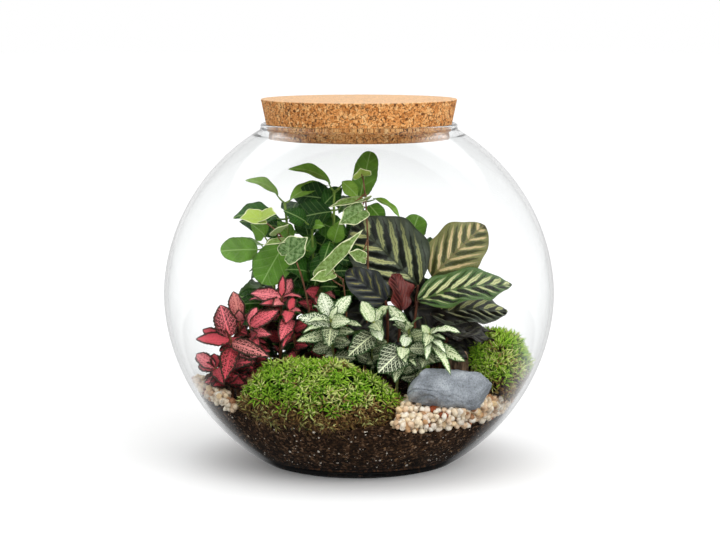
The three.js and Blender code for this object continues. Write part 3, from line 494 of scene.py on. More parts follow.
def soil_height(x, y):
    """Front height, a smooth rise to the back, a slight rise to the right and a gentle unevenness."""
    rise = smooth(y, SOIL_FRONT_Y, SOIL_BACK_Y)
    return SOIL_FRONT_HEIGHT + SOIL_RISE * rise + SOIL_TILT * x + np.sin(x / 17) * np.cos(y / 23)


def soil_top(x, y):
    """The soil's height, plus its rise or fall against the front glass, between 12 places across."""
    against = smooth(np.hypot(x, y), 88, 112) * smooth(-y, -12, 30)
    return soil_height(x, y) + np.interp(x, AGAINST_X, AGAINST_LIFT) * against


def soil_edge(angle, inset=WALL + GAP):
    """Radius and height where the soil's top meets the glass, by repeated substitution."""
    height = np.full_like(angle, 55.0)
    for _ in range(12):
        radius = globe_radius(height, inset)
        height = soil_top(radius * np.cos(angle), radius * np.sin(angle))
    return globe_radius(height, inset), height


def soil_body():
    """Wall rows up the glass and top rows in to the middle, roughened by noise."""
    angle = 2 * np.pi * np.arange(300) / 300
    edge, top = soil_edge(angle)
    share = np.linspace(0, 1, 26)[:, None]
    height = DRAIN_HEIGHT + GAP + (top - DRAIN_HEIGHT - GAP) * share
    radius = globe_radius(height, WALL + GAP)
    wall = np.stack([radius * np.cos(angle), radius * np.sin(angle), height], -1)
    wall -= (0.5 + 0.5 * noise(wall, 2.6) + 0.3 * noise(wall, 1.5, 2))[..., None] * unit(wall * [1, 1, 0])
    inner = edge * (1 - np.linspace(0.02, 0.96, 36)[:, None])
    x, y = inner * np.cos(angle), inner * np.sin(angle)
    lid = np.stack([x, y, soil_top(x, y) - 0.6], -1)
    lid[..., 2] += 0.9 * noise(lid, 5, 1) + 0.5 * noise(lid, 2.4, 4)
    rings = np.concatenate([wall, lid])
    ends = np.array([[0, 0, DRAIN_HEIGHT + GAP], [0, 0, soil_height(0.0, 0.0) - 0.6]])
    return cap_rings(rings, ends)


print("soil in the middle:", float(soil_height(0.0, 0.0)), "mm high")

# %% [markdown]
# Moist peat is matt and nearly black, with fibres and crumbs that catch the light. The body's finish draws
# crumbs of 1.7 mm. The grains carry their own tone, so that one finish covers dark crumbs and white perlite.

# %% Soil finish and grains
SOIL_CRUMB_SIZE = 1.7
CRUMB_COUNT, PERLITE_COUNT = 1100, 760


def potting_soil():
    """A tint for each Voronoi crumb, times fibrous noise that also raises the surface."""
    material, add = new_material("moist_potting_soil")
    place = add("TexCoord").outputs["Object"]
    crumbs = add("TexVoronoi", {"Vector": place, "Scale": 1 / (SOIL_CRUMB_SIZE * MM)})
    base = add("ValToRGB", {"Fac": crumbs.outputs["Color"]}, stops=[
        (0, "1e140d"), (0.5, "4a3626"), (0.74, "7a5c44"), (0.88, "b08e72"), (1, "e0c4a8")])
    fibre = add("TexNoise", {"Vector": place, "Scale": 0.42 / MM, "Detail": 6.0, "Roughness": 0.75})
    dim = add("ValToRGB", {"Fac": fibre}, stops=[(0.38, "16110d"), (0.55, "a89a8c"), (0.66, "ffffff")])
    soil = add("Mix", {0: 0.75, 6: base, 7: dim}, data_type="RGBA", blend_type="MULTIPLY")
    bump = add("Bump", {"Height": fibre, "Strength": 1, "Distance": 1.5 * MM})
    shader = add("BsdfPrincipled", {
        "Base Color": soil, "Roughness": 0.9, "Specular IOR Level": 0.08, "Normal": bump})
    return finish_material(material, shader)


def tinted(name, stops, roughness, fine=0.7 / MM):
    """Matt mineral grain: the first tone number picks the grain's colour, and fine noise speckles it."""
    material, add = new_material(name)
    place = add("TexCoord").outputs["Object"]
    tone = add("Attribute", attribute_name="tone")
    pick = add("SeparateXYZ", {"Vector": tone.outputs["Vector"]})
    colour = add("ValToRGB", {"Fac": pick.outputs["X"]}, stops=stops)
    speckle = add("TexNoise", {"Vector": place, "Scale": fine, "Detail": 4.0})
    shade = add("ValToRGB", {"Fac": speckle}, stops=[(0.3, "b4a598"), (0.5, "f0e8e0"), (0.7, "ffffff")])
    mixed = add("Mix", {0: 0.8, 6: colour, 7: shade}, data_type="RGBA", blend_type="MULTIPLY")
    bump = add("Bump", {"Height": speckle, "Strength": 0.25, "Distance": 0.4 * MM})
    shader = add("BsdfPrincipled", {
        "Base Color": mixed, "Roughness": roughness, "Specular IOR Level": 0.25, "Normal": bump})
    return finish_material(material, shader)


def on_glass(count, low, high):
    """Random points on the inner glass between two heights, the high one given per angle."""
    angle = rng.uniform(0, 2 * np.pi, count)
    top = high(angle) if callable(high) else np.full(count, float(high))
    height = low + (top - low) * rng.random(count)
    radius = globe_radius(height, WALL + GAP) - 0.9
    return np.stack([radius * np.cos(angle), radius * np.sin(angle), height], -1)


crumb_places = on_glass(CRUMB_COUNT, DRAIN_HEIGHT + 1.5, lambda a: soil_edge(a)[1] - 1)
crumb_tone = random_tone(CRUMB_COUNT) ** 2.2
crumb_radii = rng.uniform(0.5, 1.5, (CRUMB_COUNT, 1)) * [1, 0.8, 0.7]
crumbs = grains(crumb_places, crumb_radii, crumb_tone, rows=4, around=5)
perlite_places = on_glass(PERLITE_COUNT, DRAIN_HEIGHT + 1, lambda a: soil_edge(a)[1] - 1)
perlite_radii = 0.25 + 0.65 * rng.random((PERLITE_COUNT, 1)) ** 2 * [1, 0.9, 0.8]
perlite = grains(perlite_places, perlite_radii, 1 - 0.12 * random_tone(PERLITE_COUNT), rows=3, around=5)
bits = tinted("soil_crumbs_and_perlite", [
    (0, "20160e"), (0.4, "3e2c20"), (0.58, "755238"), (0.84, "a8845e"), (0.9, "efe9df")], 0.9)
crumbs["material"] = perlite["material"] = 1
make_piece("soil_body", [surface(*soil_body()), crumbs, perlite], [potting_soil(), bits], ["soil"])

# %% [markdown]
# Under the soil lies a thin drainage layer of baked clay granules, 3 to 4 mm, brown and dull. Only the ones
# against the glass show, so a plain core fills the middle.

# %% Drainage granules
def drain_body():
    """Turned core, 2.5 mm short of the glass, between the foot and the soil."""
    heights = np.linspace(FOOT_THICKNESS + 1, DRAIN_HEIGHT - 0.3, 5)
    rows = [(0, heights[0])] + [(globe_radius(h, WALL) - 2.8, h) for h in heights] + [(0, heights[-1])]
    return turned(rows, 96)


GRANULE_COUNT = 620
granule_places = on_glass(GRANULE_COUNT, FOOT_THICKNESS + 1.9, DRAIN_HEIGHT - 1.5)
granule_places[:, :2] *= 0.985
granule_radii = rng.uniform(1.2, 2.0, (GRANULE_COUNT, 1)) * [1, 0.9, 0.8]
granules = grains(granule_places, granule_radii, random_tone(GRANULE_COUNT), rows=3, around=6)
clay = tinted("baked_clay_granules", [
    (0, "2a1c13"), (0.4, "4a3222"), (0.75, "6d4b32"), (1, "8a6646")], 0.9)
make_piece("clay_granules", [surface(*drain_body()), granules], [clay], ["drainage_granules"])

# %% [markdown]
# The pebbles are washed river gravel of 5 to 6 mm: cream, white, tan and pinkish, with a few brown ones.
# They lie in a bank of about three layers along the glass. A jittered hexagonal packing inside the bank's
# outline places them, so that they fill it without large gaps.

# %% River pebbles
GRAVEL_DEPTH, GRAVEL_BANK, GRAVEL_BACK_Y = 4.5, 12, -70
GRAVEL_FALL, FALL_FROM_X, FALL_TO_X = 11, 82, 104
GRAVEL_LOWEST = 36
GRAVEL = {
    "right": [(19, -128), (60, -132), (112, -100), (140, -46), (138, 6), (114, 6), (100, -44), (90, -68),
              (34, -76)],
    "left": [(-82, -126), (-84, -94), (-94, -70), (-112, -40), (-128, -24), (-140, -40), (-120, -90)],
}
PEBBLE_RADIUS, PEBBLE_SPACING = 2.4, 4.2
# Pebbles keep clear of the glass, and only those near the glass or near the top are made, since no other
# one shows.
PEBBLE_CLEAR, NEAR_GLASS, NEAR_TOP = 2.6, 11, 6


def gravel_height(x, y):
    """Soil + depth + bank * b (1 - b / 2), b growing away from the glass, less a fall at the far right."""
    bank = smooth(y, SOIL_FRONT_Y, GRAVEL_BACK_Y)
    fall = GRAVEL_FALL * smooth(x, FALL_FROM_X, FALL_TO_X)
    return soil_height(x, y) + GRAVEL_DEPTH + GRAVEL_BANK * bank * (1 - bank / 2) - fall


def inside_outline(x, y, outline):
    """True where a ray to the right crosses the outline an odd number of times."""
    inside = np.zeros(x.shape, bool)
    for (x1, y1), (x2, y2) in zip(outline, outline[1:] + outline[:1]):
        if y1 != y2:
            crosses = (y1 > y) != (y2 > y)
            inside ^= crosses & (x < (x2 - x1) * (y - y1) / (y2 - y1) + x1)
    return inside


def packed_places(outline, spacing):
    """Hexagonal layers jittered by a fifth of the spacing, kept inside the outline, bank and glass."""
    i, j, k = np.meshgrid(np.arange(-36, 37), np.arange(-42, 42), np.arange(0, 16), indexing="ij")
    x = (i + (j % 2) / 2 + (k % 2) / 3) * spacing
    y = (j + (k % 2) / 3) * spacing * 0.866
    z = GRAVEL_LOWEST + k * spacing * 0.78
    places = np.stack([x, y, z], -1).reshape(-1, 3) + rng.uniform(-0.2, 0.2, (x.size, 3)) * spacing
    x, y, z = places.T
    room = globe_radius(z, WALL) - PEBBLE_CLEAR - np.hypot(x, y)
    keep = inside_outline(x, y, outline) & (room > 0)
    top = gravel_height(x, y) + 1.6
    keep &= (z > soil_top(x, y) + 0.5) & (z < top) & ((room < NEAR_GLASS) | (z > top - NEAR_TOP))
    return places[keep]


pebble_stone = tinted("washed_river_pebbles", [
    (0, "fffaf0"), (0.18, "fdf2dc"), (0.36, "f8e4c2"), (0.5, "fbefe0"), (0.62, "f2d6a8"), (0.72, "fffaf0"),
    (0.8, "f6d8b8"), (0.88, "e6cfb4"), (0.94, "dcb082"), (0.975, "b88c68"),
    (0.992, "a1502e")], 0.55, 0.26 / MM)
for side, outline in GRAVEL.items():
    places = packed_places(outline, PEBBLE_SPACING)
    radii = PEBBLE_RADIUS * rng.uniform(0.72, 1.2, (len(places), 1)) * [1.08, 0.98, 0.86]
    bed = grains(places, radii, random_tone(len(places)), lumps=0.12, rows=5, around=8)
    make_piece(f"pebbles_{side}", [bed], [pebble_stone], [f"gravel_{side}"])

# %% [markdown]
# The slate is a worn piece of blue-grey stone that leans back. It is a squared-off ball with slow swells;
# fine noise adds the split ledges at its lower left, and the material its dusty scuffs and pale scratches.

# %% Slate
STONE_CENTRE, STONE_RADII = (65, -88, 73.5), (32, 14, 16)
STONE_LEAN, STONE_TURN = 28, 4


def leaning(points, centre, lean, turn):
    """Turns points back about X and round Z, in degrees, and moves them to a centre."""
    a, b = math.radians(-lean), math.radians(turn)
    about_x = np.array([[1, 0, 0], [0, math.cos(a), -math.sin(a)], [0, math.sin(a), math.cos(a)]])
    about_z = np.array([[math.cos(b), -math.sin(b), 0], [math.sin(b), math.cos(b), 0], [0, 0, 1]])
    return points @ (about_z @ about_x).T + centre


# Cut planes: the direction each faces, x, y, z, and its distance from the middle.
CUTS = np.array([
    (0.1, -0.35, 0.93, 11.2), (-0.25, -0.9, 0.3, 12.0), (0.35, -0.85, 0.25, 14.6), (-0.85, -0.2, 0.45, 21.5),
    (0.8, -0.3, 0.5, 24.5), (-0.55, 0.1, 0.8, 17.5), (0.5, 0.2, 0.85, 17.0), (-0.6, -0.5, -0.6, 19.5),
    (0.7, -0.4, -0.55, 21.0), (0.1, 0.9, 0.4, 12.5), (-0.9, 0.3, -0.1, 26.0), (0.92, 0.3, 0.1, 27.5),
])


def slate_stone():
    """A squared-off ball with two slow swells, flattened onto cut planes, with split ledges at one end."""
    ball, triangles = ball_directions(96, 150)
    x, y, z = ball.T
    swell = 1 + 0.06 * np.sin(4 * x + 2 * y) - 0.05 * np.cos(5 * z + 2 * x)
    flat = np.sign(ball) * np.abs(ball) ** 0.8
    shape = flat * STONE_RADII * swell[:, None]
    for *facing, distance in CUTS:
        normal = unit(facing)
        over = np.maximum(0, shape @ normal - 1.1 * distance)
        shape = shape - 0.82 * over[:, None] * normal
    layer = shape @ np.array([0.3, 0.25, 0.92]) + 1.6 * noise(shape, 14, 2)
    step = smooth(np.abs((layer / 3.4) % 1 - 0.5) * 2, 0.55, 0.95)
    ledge = smooth(-shape[:, 0], 6, 20) * smooth(-shape[:, 2], -4, 6) * step
    chips = smooth(noise(shape, 4, 9), 0.3, 0.45) + smooth(noise(shape, 8, 7), 0.2, 0.3)
    rough = 0.7 * noise(shape, 9, 1) + 0.3 * noise(shape, 2.4, 3) - 1.6 * ledge - 0.55 * chips
    return leaning(shape + rough[:, None] * unit(flat), STONE_CENTRE, STONE_LEAN, STONE_TURN), triangles


def split_slate():
    """Cloudy blue-grey, times fine dust, with pale scuffs along the splitting planes."""
    material, add = new_material("worn_blue_grey_slate")
    place = add("TexCoord").outputs["Object"]
    cloud = add("TexNoise", {"Vector": place, "Scale": 0.07 / MM, "Detail": 6.0, "Roughness": 0.62})
    base = add("ValToRGB", {"Fac": cloud}, stops=[
        (0.28, "70757b"), (0.43, "92979e"), (0.58, "a9aeb5"), (0.74, "c6cace")])
    fine = add("TexNoise", {"Vector": place, "Scale": 0.9 / MM, "Detail": 5.0, "Roughness": 0.7})
    dust = add("ValToRGB", {"Fac": fine}, stops=[(0.35, "8a8a8a"), (0.5, "e4e4e4"), (0.7, "ffffff")])
    tinted_base = add("Mix", {0: 0.7, 6: base, 7: dust}, data_type="RGBA", blend_type="MULTIPLY")
    stretch = add("Mapping", {
        "Vector": place, "Rotation": (0.2, 0.5, 0.3), "Scale": (0.06 / MM, 0.4 / MM, 0.7 / MM)})
    marks = add("TexNoise", {"Vector": stretch, "Scale": 1, "Detail": 4.0})
    scuffed = add("ValToRGB", {"Fac": marks}, stops=[(0, "000000"), (0.64, "000000"), (0.72, "8c8c8c")])
    scuffs = add("Mix", {0: scuffed, 6: tinted_base, 7: "c2c5ca"}, data_type="RGBA")
    bump = add("Bump", {"Height": fine, "Strength": 0.4, "Distance": 0.5 * MM})
    stone = add("BsdfPrincipled", {"Base Color": scuffs, "Roughness": 0.62, "Normal": bump})
    return finish_material(material, stone)


make_piece("slate_boulder", [surface(*slate_stone())], [split_slate()], ["slate_stone"])

# %% [markdown]
# A chip of weathered bark stands behind the slate. Bark splits along the grain, so its noise is stretched
# upwards, and its top is painted a paler tan, as a highlight where the light falls on it.

# %% Bark
BARK_CENTRE, BARK_SIZE, BARK_TURN = (73, -56, 80), (17, 8, 38), 10
# Heights over which the chip's top turns to a pale tan, a painted highlight.
LIT_TOP_FROM, LIT_TOP_TO = 88, 98


def bark_chip():
    """Squared-off upright ball, ridged by noise that is stretched five times along the grain."""
    ball, triangles = ball_directions(70, 90)
    shape = np.sign(ball) * np.abs(ball) ** 0.45 * (np.array(BARK_SIZE) / 2) * [1, 1, 0.98]
    ridges = 1.2 * noise(shape * [1, 1, 0.2], 2.8, 6) + 0.6 * noise(shape, 1.8, 8)
    shape[:, 2] -= 5 * smooth(shape[:, 2], 4, 18) * (0.6 + noise(shape * [1, 1, 0], 5, 2))
    return leaning(shape + ridges[:, None] * unit(ball * [1, 1, 0.3]), BARK_CENTRE, 0, BARK_TURN), triangles


def weathered_bark():
    """Fibres drawn five times longer up the chip than across it, fading to tan at the top as a painted
    highlight.
    """
    material, add = new_material("weathered_bark")
    place = add("TexCoord").outputs["Object"]
    grain = add("Mapping", {"Vector": place, "Scale": (0.42 / MM, 0.42 / MM, 0.08 / MM)})
    fibres = add("TexNoise", {"Vector": grain, "Scale": 1, "Detail": 6.0})
    colour = add("ValToRGB", {"Fac": fibres}, stops=[
        (0.3, "1d150e"), (0.45, "463626"), (0.58, "6f5843"), (0.72, "a88a70")])
    split = add("SeparateXYZ", {"Vector": place})
    # Painted highlight: the top 10 mm of the chip fades to pale tan where light falls on it.
    lit_top = add("MapRange", {
        "Value": split.outputs["Z"], "From Min": LIT_TOP_FROM * MM, "From Max": LIT_TOP_TO * MM, "To Max": 0.7})
    top = add("Mix", {0: lit_top, 6: colour, 7: "cfa488"}, data_type="RGBA")
    bump = add("Bump", {"Height": fibres, "Strength": 0.8, "Distance": 1.0 * MM})
    shader = add("BsdfPrincipled", {"Base Color": top, "Roughness": 0.88, "Normal": bump})
    return finish_material(material, shader)


make_piece("bark", [surface(*bark_chip())], [weathered_bark()], ["bark_chip"])

# %% [markdown]
# Moss is thousands of leafy shoots. Each blade is a thin three-sided spike that bends as it rises, with ten
# faces, and a tuft is a handful of them that fan out. Tufts are spread evenly over a dome by its area and
# stand square to it. Their blades are painted dark at the foot as shade and light at the tip, partly as young
# growth and partly as a painted highlight. Dead brown fibres hang along the lower edge.

# %% Moss blades
# Faces of one spike: six below, three to the point, and the foot.
SPIKE = np.array([[0, 1, 4], [0, 4, 3], [1, 2, 5], [1, 5, 4], [2, 0, 3], [2, 3, 5],
                  [3, 4, 6], [4, 5, 6], [5, 3, 6], [0, 2, 1]])


def blades(base, direction, bend, length, radius, tone):
    """Spikes: base + length * (s * direction + s^2 * bend), three-sided at s = 0 and 0.5, pointed at 1."""
    count = len(base)
    side = unit(np.cross(direction, unit(rng.normal(size=(count, 3)))))
    up = np.cross(side, direction)
    angle = 2 * np.pi * np.arange(3) / 3
    circle = np.cos(angle)[:, None] * side[:, None] + np.sin(angle)[:, None] * up[:, None]
    rows = []
    for s, width in ((0.0, 0.8), (0.5, 1.0)):
        middle = base + length[:, None] * (s * direction + s * s * bend)
        rows.append(middle[:, None] + width * radius[:, None, None] * circle)
    tip = (base + length[:, None] * (direction + bend))[:, None]
    points = np.concatenate([*rows, tip], 1)
    faces = SPIKE + (7 * np.arange(count))[:, None, None]
    along = np.array([0, 0, 0, 0.5, 0.5, 0.5, 1.0])
    tones = np.stack([np.broadcast_to(along, (count, 7)), np.broadcast_to(tone[:, :1], (count, 7)),
                      np.broadcast_to(tone[:, 1:2], (count, 7))], -1)
    return surface(keep_inside(points).reshape(-1, 3), faces.reshape(-1, 3), tone=tones.reshape(-1, 3))


def scatter(grid, count):
    """Random points on a grid surface, evenly by area, with their unit normals."""
    a, b, c = grid[:-1, :-1], grid[1:, :-1], grid[:-1, 1:]
    cross = np.cross(b - a, c - a)
    area = np.linalg.norm(cross, axis=-1).ravel()
    cell = rng.choice(area.size, count, p=area / area.sum())
    u, v = rng.random((2, count, 1))
    flat = [v.reshape(-1, 3)[cell] for v in (a, b - a, c - a, cross)]
    return flat[0] + u * flat[1] + v * flat[2], unit(flat[3])


def tufts(places, normals, count, length, radius, spread, tone):
    """Star shoots: inner blades stand up, outer ones spread by up to `spread`, evenly round the normal."""
    total = len(places)
    side = unit(np.cross(normals, unit(rng.normal(size=(total, 3)))))
    up = np.cross(normals, side)
    step = np.arange(count)
    angle = 2.4 * step + rng.uniform(0, 6.3, (total, 1)) + rng.normal(0, 0.15, (total, count))
    tilt = (spread * (0.15 + 0.85 * step / count) * rng.uniform(0.85, 1.15, (total, count)))[..., None]
    out = np.cos(angle)[..., None] * side[:, None] + np.sin(angle)[..., None] * up[:, None]
    direction = unit(normals[:, None] + tilt * out).reshape(-1, 3)
    bend = ((0.25 * out - 0.15 * normals[:, None]) * np.minimum(tilt, 1)).reshape(-1, 3)
    base = np.repeat(places, count, axis=0) + 0.35 * out.reshape(-1, 3)
    sizes = length * rng.uniform(0.8, 1.15, total * count)
    tones = np.repeat(tone, count, axis=0) + 0.06 * rng.normal(size=(total * count, 2))
    return blades(base, direction, bend, sizes, np.full(total * count, radius), np.clip(tones, 0, 1))


print("a moss blade has", len(SPIKE), "faces")

# %% [markdown]
# A living cushion is a dome over an uneven oval, with a lip that hangs over the soil. The dome itself is
# slightly smaller and painted dark, as the shade inside the moss; what the eye sees are the tufts on it,
# painted dark at their feet as shade and bright at their tips, and the dead brown fibres under its lip.

# %% Moss cushions
MOSS = {
    "front": dict(centre=(-28, -83), reach=(60, 34), floor=45, top=95, tilt=-0.11),
    "right": dict(centre=(102, -34), reach=(30, 30), floor=52, top=107, tilt=0),
}
MOSS_LIP = 0.25
SKIN_INSET, CORE_INSET = 4.2, 6.0
SINK, STAND_OUT = -4.6, 2.2


def visible_ground(x, y):
    """The higher of the soil against the glass and the soil further in."""
    return np.maximum(soil_top(x, y), soil_height(x, y))


def facing_out(normals, places, centre):
    """Normals that point away from a centre: n * sign(n . (p - c))."""
    return normals * np.sign(np.einsum("ij,ij->i", normals, places - centre))[:, None]


def dome(cushion, shrink=0.0, rows=40, around=120):
    """Rings of the cushion: a rounded top over a wavy oval plan, with an upright rim below its lip."""
    (cx, cy), (rx, ry) = cushion["centre"], cushion["reach"]
    floor, top, tilt = cushion["floor"], cushion["top"], cushion["tilt"]
    angle = np.linspace(0, 2 * np.pi, around + 1)
    swell = 1 + 0.05 * np.sin(3 * angle) + 0.04 * np.cos(5 * angle + 1)
    share = np.sin(0.5 * np.pi * np.linspace(0.02, 1, rows))[:, None]
    x = (rx * swell - shrink) * share * np.cos(angle)
    y = (ry * swell - shrink) * share * np.sin(angle)
    rise = MOSS_LIP + (1 - MOSS_LIP) * np.clip(1 - share ** 2.3, 0, 1) ** 0.6
    z = floor + (top + tilt * x - shrink - floor) * rise
    skirt = np.linspace(0, 1, 10)[1:, None]
    foot = visible_ground(cx + x[-1], cy + y[-1]) - 1
    low = z[-1] + (np.minimum(foot, z[-1] - 1) - z[-1]) * skirt
    grid = np.stack([cx + x, cy + y, z], -1)
    rim = np.stack([cx + x[-1] + 0 * low, cy + y[-1] + 0 * low, low], -1)
    whole = np.concatenate([grid, rim])
    whole[..., 2] += 2.8 * noise(whole, 17, 3) + 1.6 * noise(whole, 8, 5)
    return keep_inside(whole, 1.0)


def dome_core(cushion):
    """The inside of a cushion, painted dark as shade: its dome, 6 mm smaller, closed below."""
    grid = dome(cushion, CORE_INSET, 24, 72)[:, :-1]
    top, foot = grid[0].mean(0), grid[-1].mean(0)
    return cap_rings(grid, np.array([top, foot]))


def living_moss():
    """Dark at a blade's foot as painted shade and light at its tip, partly a painted highlight; a tone from
    green over yellow to brown.
    """
    material, add = new_material("living_moss")
    tone = add("Attribute", attribute_name="tone")
    pick = add("SeparateXYZ", {"Vector": tone.outputs["Vector"]})
    # Painted shade and highlight: blade feet take the dark ramp and tips the bright one, up to near-white
    # yellow.
    low = add("ValToRGB", {"Fac": pick.outputs["Y"]}, stops=[
        (0, "0c2205"), (0.45, "1c4208"), (0.8, "3c660e"), (0.87, "3c3a14"), (0.93, "38260f"), (1, "1a1008")])
    high = add("ValToRGB", {"Fac": pick.outputs["Y"]}, stops=[
        (0, "86c22a"), (0.4, "c0ea48"), (0.8, "fffda8"), (0.87, "c0ac60"), (0.93, "a27848"), (1, "604428")])
    mixed = add("Mix", {0: pick.outputs["X"], 6: low, 7: high}, data_type="RGBA")
    shader = add("BsdfPrincipled", {"Base Color": mixed, "Roughness": 0.6, "Specular IOR Level": 0.2})
    return finish_material(material, shader)


def moss_tones(places, floor_share, yellow):
    """Mostly green, yellower in patches and by shoot, and brown where the share of height is small."""
    patch = 0.25 + 0.3 * noise(places, 9, 4) + rng.uniform(-0.25, 0.3, len(places))
    patch = patch + yellow * (rng.random(len(places)) > 0.8)
    brown = smooth(-floor_share, -0.6, -0.2) > rng.random(len(places))
    return np.stack([np.where(brown, rng.uniform(0.87, 1, len(places)), np.clip(patch, 0, 0.85)),
                     rng.random(len(places))], -1)


def moss_cushion(cushion, look):
    """Core, tufts from 4.6 mm inside the skin to 2.2 mm outside it, and brown fibres on its low rows."""
    floor = cushion["floor"]
    skin = dome(cushion, SKIN_INSET)
    places, normals = scatter(skin, look["tufts"])
    normals = facing_out(normals, places, [*cushion["centre"], floor - 20])
    share = (places[:, 2] - visible_ground(places[:, 0], places[:, 1])) / 30
    tones = moss_tones(places, share, look["yellow"])
    places += normals * rng.uniform(SINK, STAND_OUT, (len(places), 1))
    green = tufts(places, unit(normals + [0, 0, 0.45]), look["blades"], look["length"], look["radius"],
                  look["spread"], tones)
    low_places, low_normals = scatter(skin[-17:], look["fibres"])
    low_normals = facing_out(low_normals, low_places, [*cushion["centre"], 60])
    drift = unit(low_normals + 1.2 * rng.normal(size=low_normals.shape) + [0, 0, -0.2])
    fibres = blades(low_places, drift, 0.6 * rng.normal(size=drift.shape), rng.uniform(3, 8, len(drift)),
                    np.full(len(drift), 0.25), rng.uniform([0.9, 0], [1, 1], (len(drift), 2)))
    # Tone 0 gives the core the darkest moss colour, as painted shade.
    core = surface(*dome_core(cushion), tone=(0.0, 0.0, 0.0))
    return [core, green, fibres]


MOSS_LOOK = {
    "front": dict(tufts=980, blades=8, length=6.4, radius=0.76, spread=2.1, yellow=0.6, fibres=2000),
    "right": dict(tufts=520, blades=9, length=9.0, radius=0.74, spread=1.3, yellow=0.5, fibres=800),
}
moss = living_moss()
for side, cushion in MOSS.items():
    make_piece(f"moss_tufts_{side}", moss_cushion(cushion, MOSS_LOOK[side]), [moss], [f"moss_{side}"])


def moss_carpet(count=900, blades_each=4):
    """Low moss on the bare soil behind the plants, in patches picked by noise."""
    x, y = rng.uniform(-118, 118, (2, 4 * count))
    z = soil_height(x, y)
    patchy = noise(np.stack([x, y, z], -1), 26, 6) > -0.25
    behind = (y > 12 + 0.25 * np.abs(x)) & (np.hypot(x, y) < globe_radius(z, WALL) - 5) & patchy
    places = np.stack([x, y, z], -1)[behind][:count]
    tones = np.stack([0.3 + 0.3 * noise(places, 9, 2), rng.random(len(places))], -1)
    upright = unit(np.array([0, 0, 1.0]) + 0.25 * rng.normal(size=places.shape))
    return tufts(places, upright, blades_each, length=5.6, radius=0.8, spread=2.2,
                 tone=np.clip(tones, 0, 0.85))


make_piece("moss_carpet_behind", [moss_carpet()], [moss], [])

# %% [markdown]
# A leaf blade is a sheet over two parameters: s runs along the midrib from 0 to 1 and t across it from -1
# to 1. The midrib arches, the two halves fold up like an open book, and the edge may wave. The width is a
# power curve, so each species only needs two numbers for its outline. Each point also knows where it is on
# the leaf in millimetres, so that the materials can draw veins at their real size.

# %% Leaf blades
# Directions that the upper face of a blade is turned to, before it is made square to the midrib.
FACES = {
    "up": (0, -0.35, 1), "front": (0, -1, 0.35), "tilted": (0, -0.8, 1), "level": (0, 0, 1),
    "back": (0, 0.6, 1), "right": (1, -0.7, 0.4), "lifted": (0.1, -0.9, -0.2),
}
# Per species: powers of the outline, arch as a share of the length, fold in degrees, height and number of
# edge waves, pairs of side veins, how far these lean and sweep forward, relief of ribs, uneven outline.
BLADES = {
    "fittonia": dict(blunt=(0.5, 0.72), arch=0.13, fold=14, wave=0.5, waves=3, veins=7, lean=0.5,
                     uneven=0.05),
    "coffee": dict(blunt=(0.75, 1.05), arch=0.13, fold=12, wave=1.0, waves=3, veins=8, lean=0.3, ribs=0.08),
    "young": dict(blunt=(0.75, 1.0), arch=0.13, fold=14, wave=0.6, waves=2, veins=7, lean=0.3),
    "seed": dict(blunt=(0.42, 0.42), arch=0.06, fold=6, wave=0.9, waves=1.5, veins=4, lean=0.5),
    "calathea": dict(blunt=(0.5, 0.66), arch=0.08, fold=9, wave=2.0, waves=2.2, veins=5.6, lean=0.7,
                     sweep=1.15, ribs=0.11, uneven=0.045),
}


def leaf_axes(base, tip, face):
    """Length, direction along, the face made square to it, and the direction across."""
    base, tip = np.array(base, float), np.array(tip, float)
    length = np.linalg.norm(tip - base)
    along = (tip - base) / length
    hint = np.array(FACES[face], float)
    normal = unit(hint - hint @ along * along)
    return length, along, normal, np.cross(along, normal)


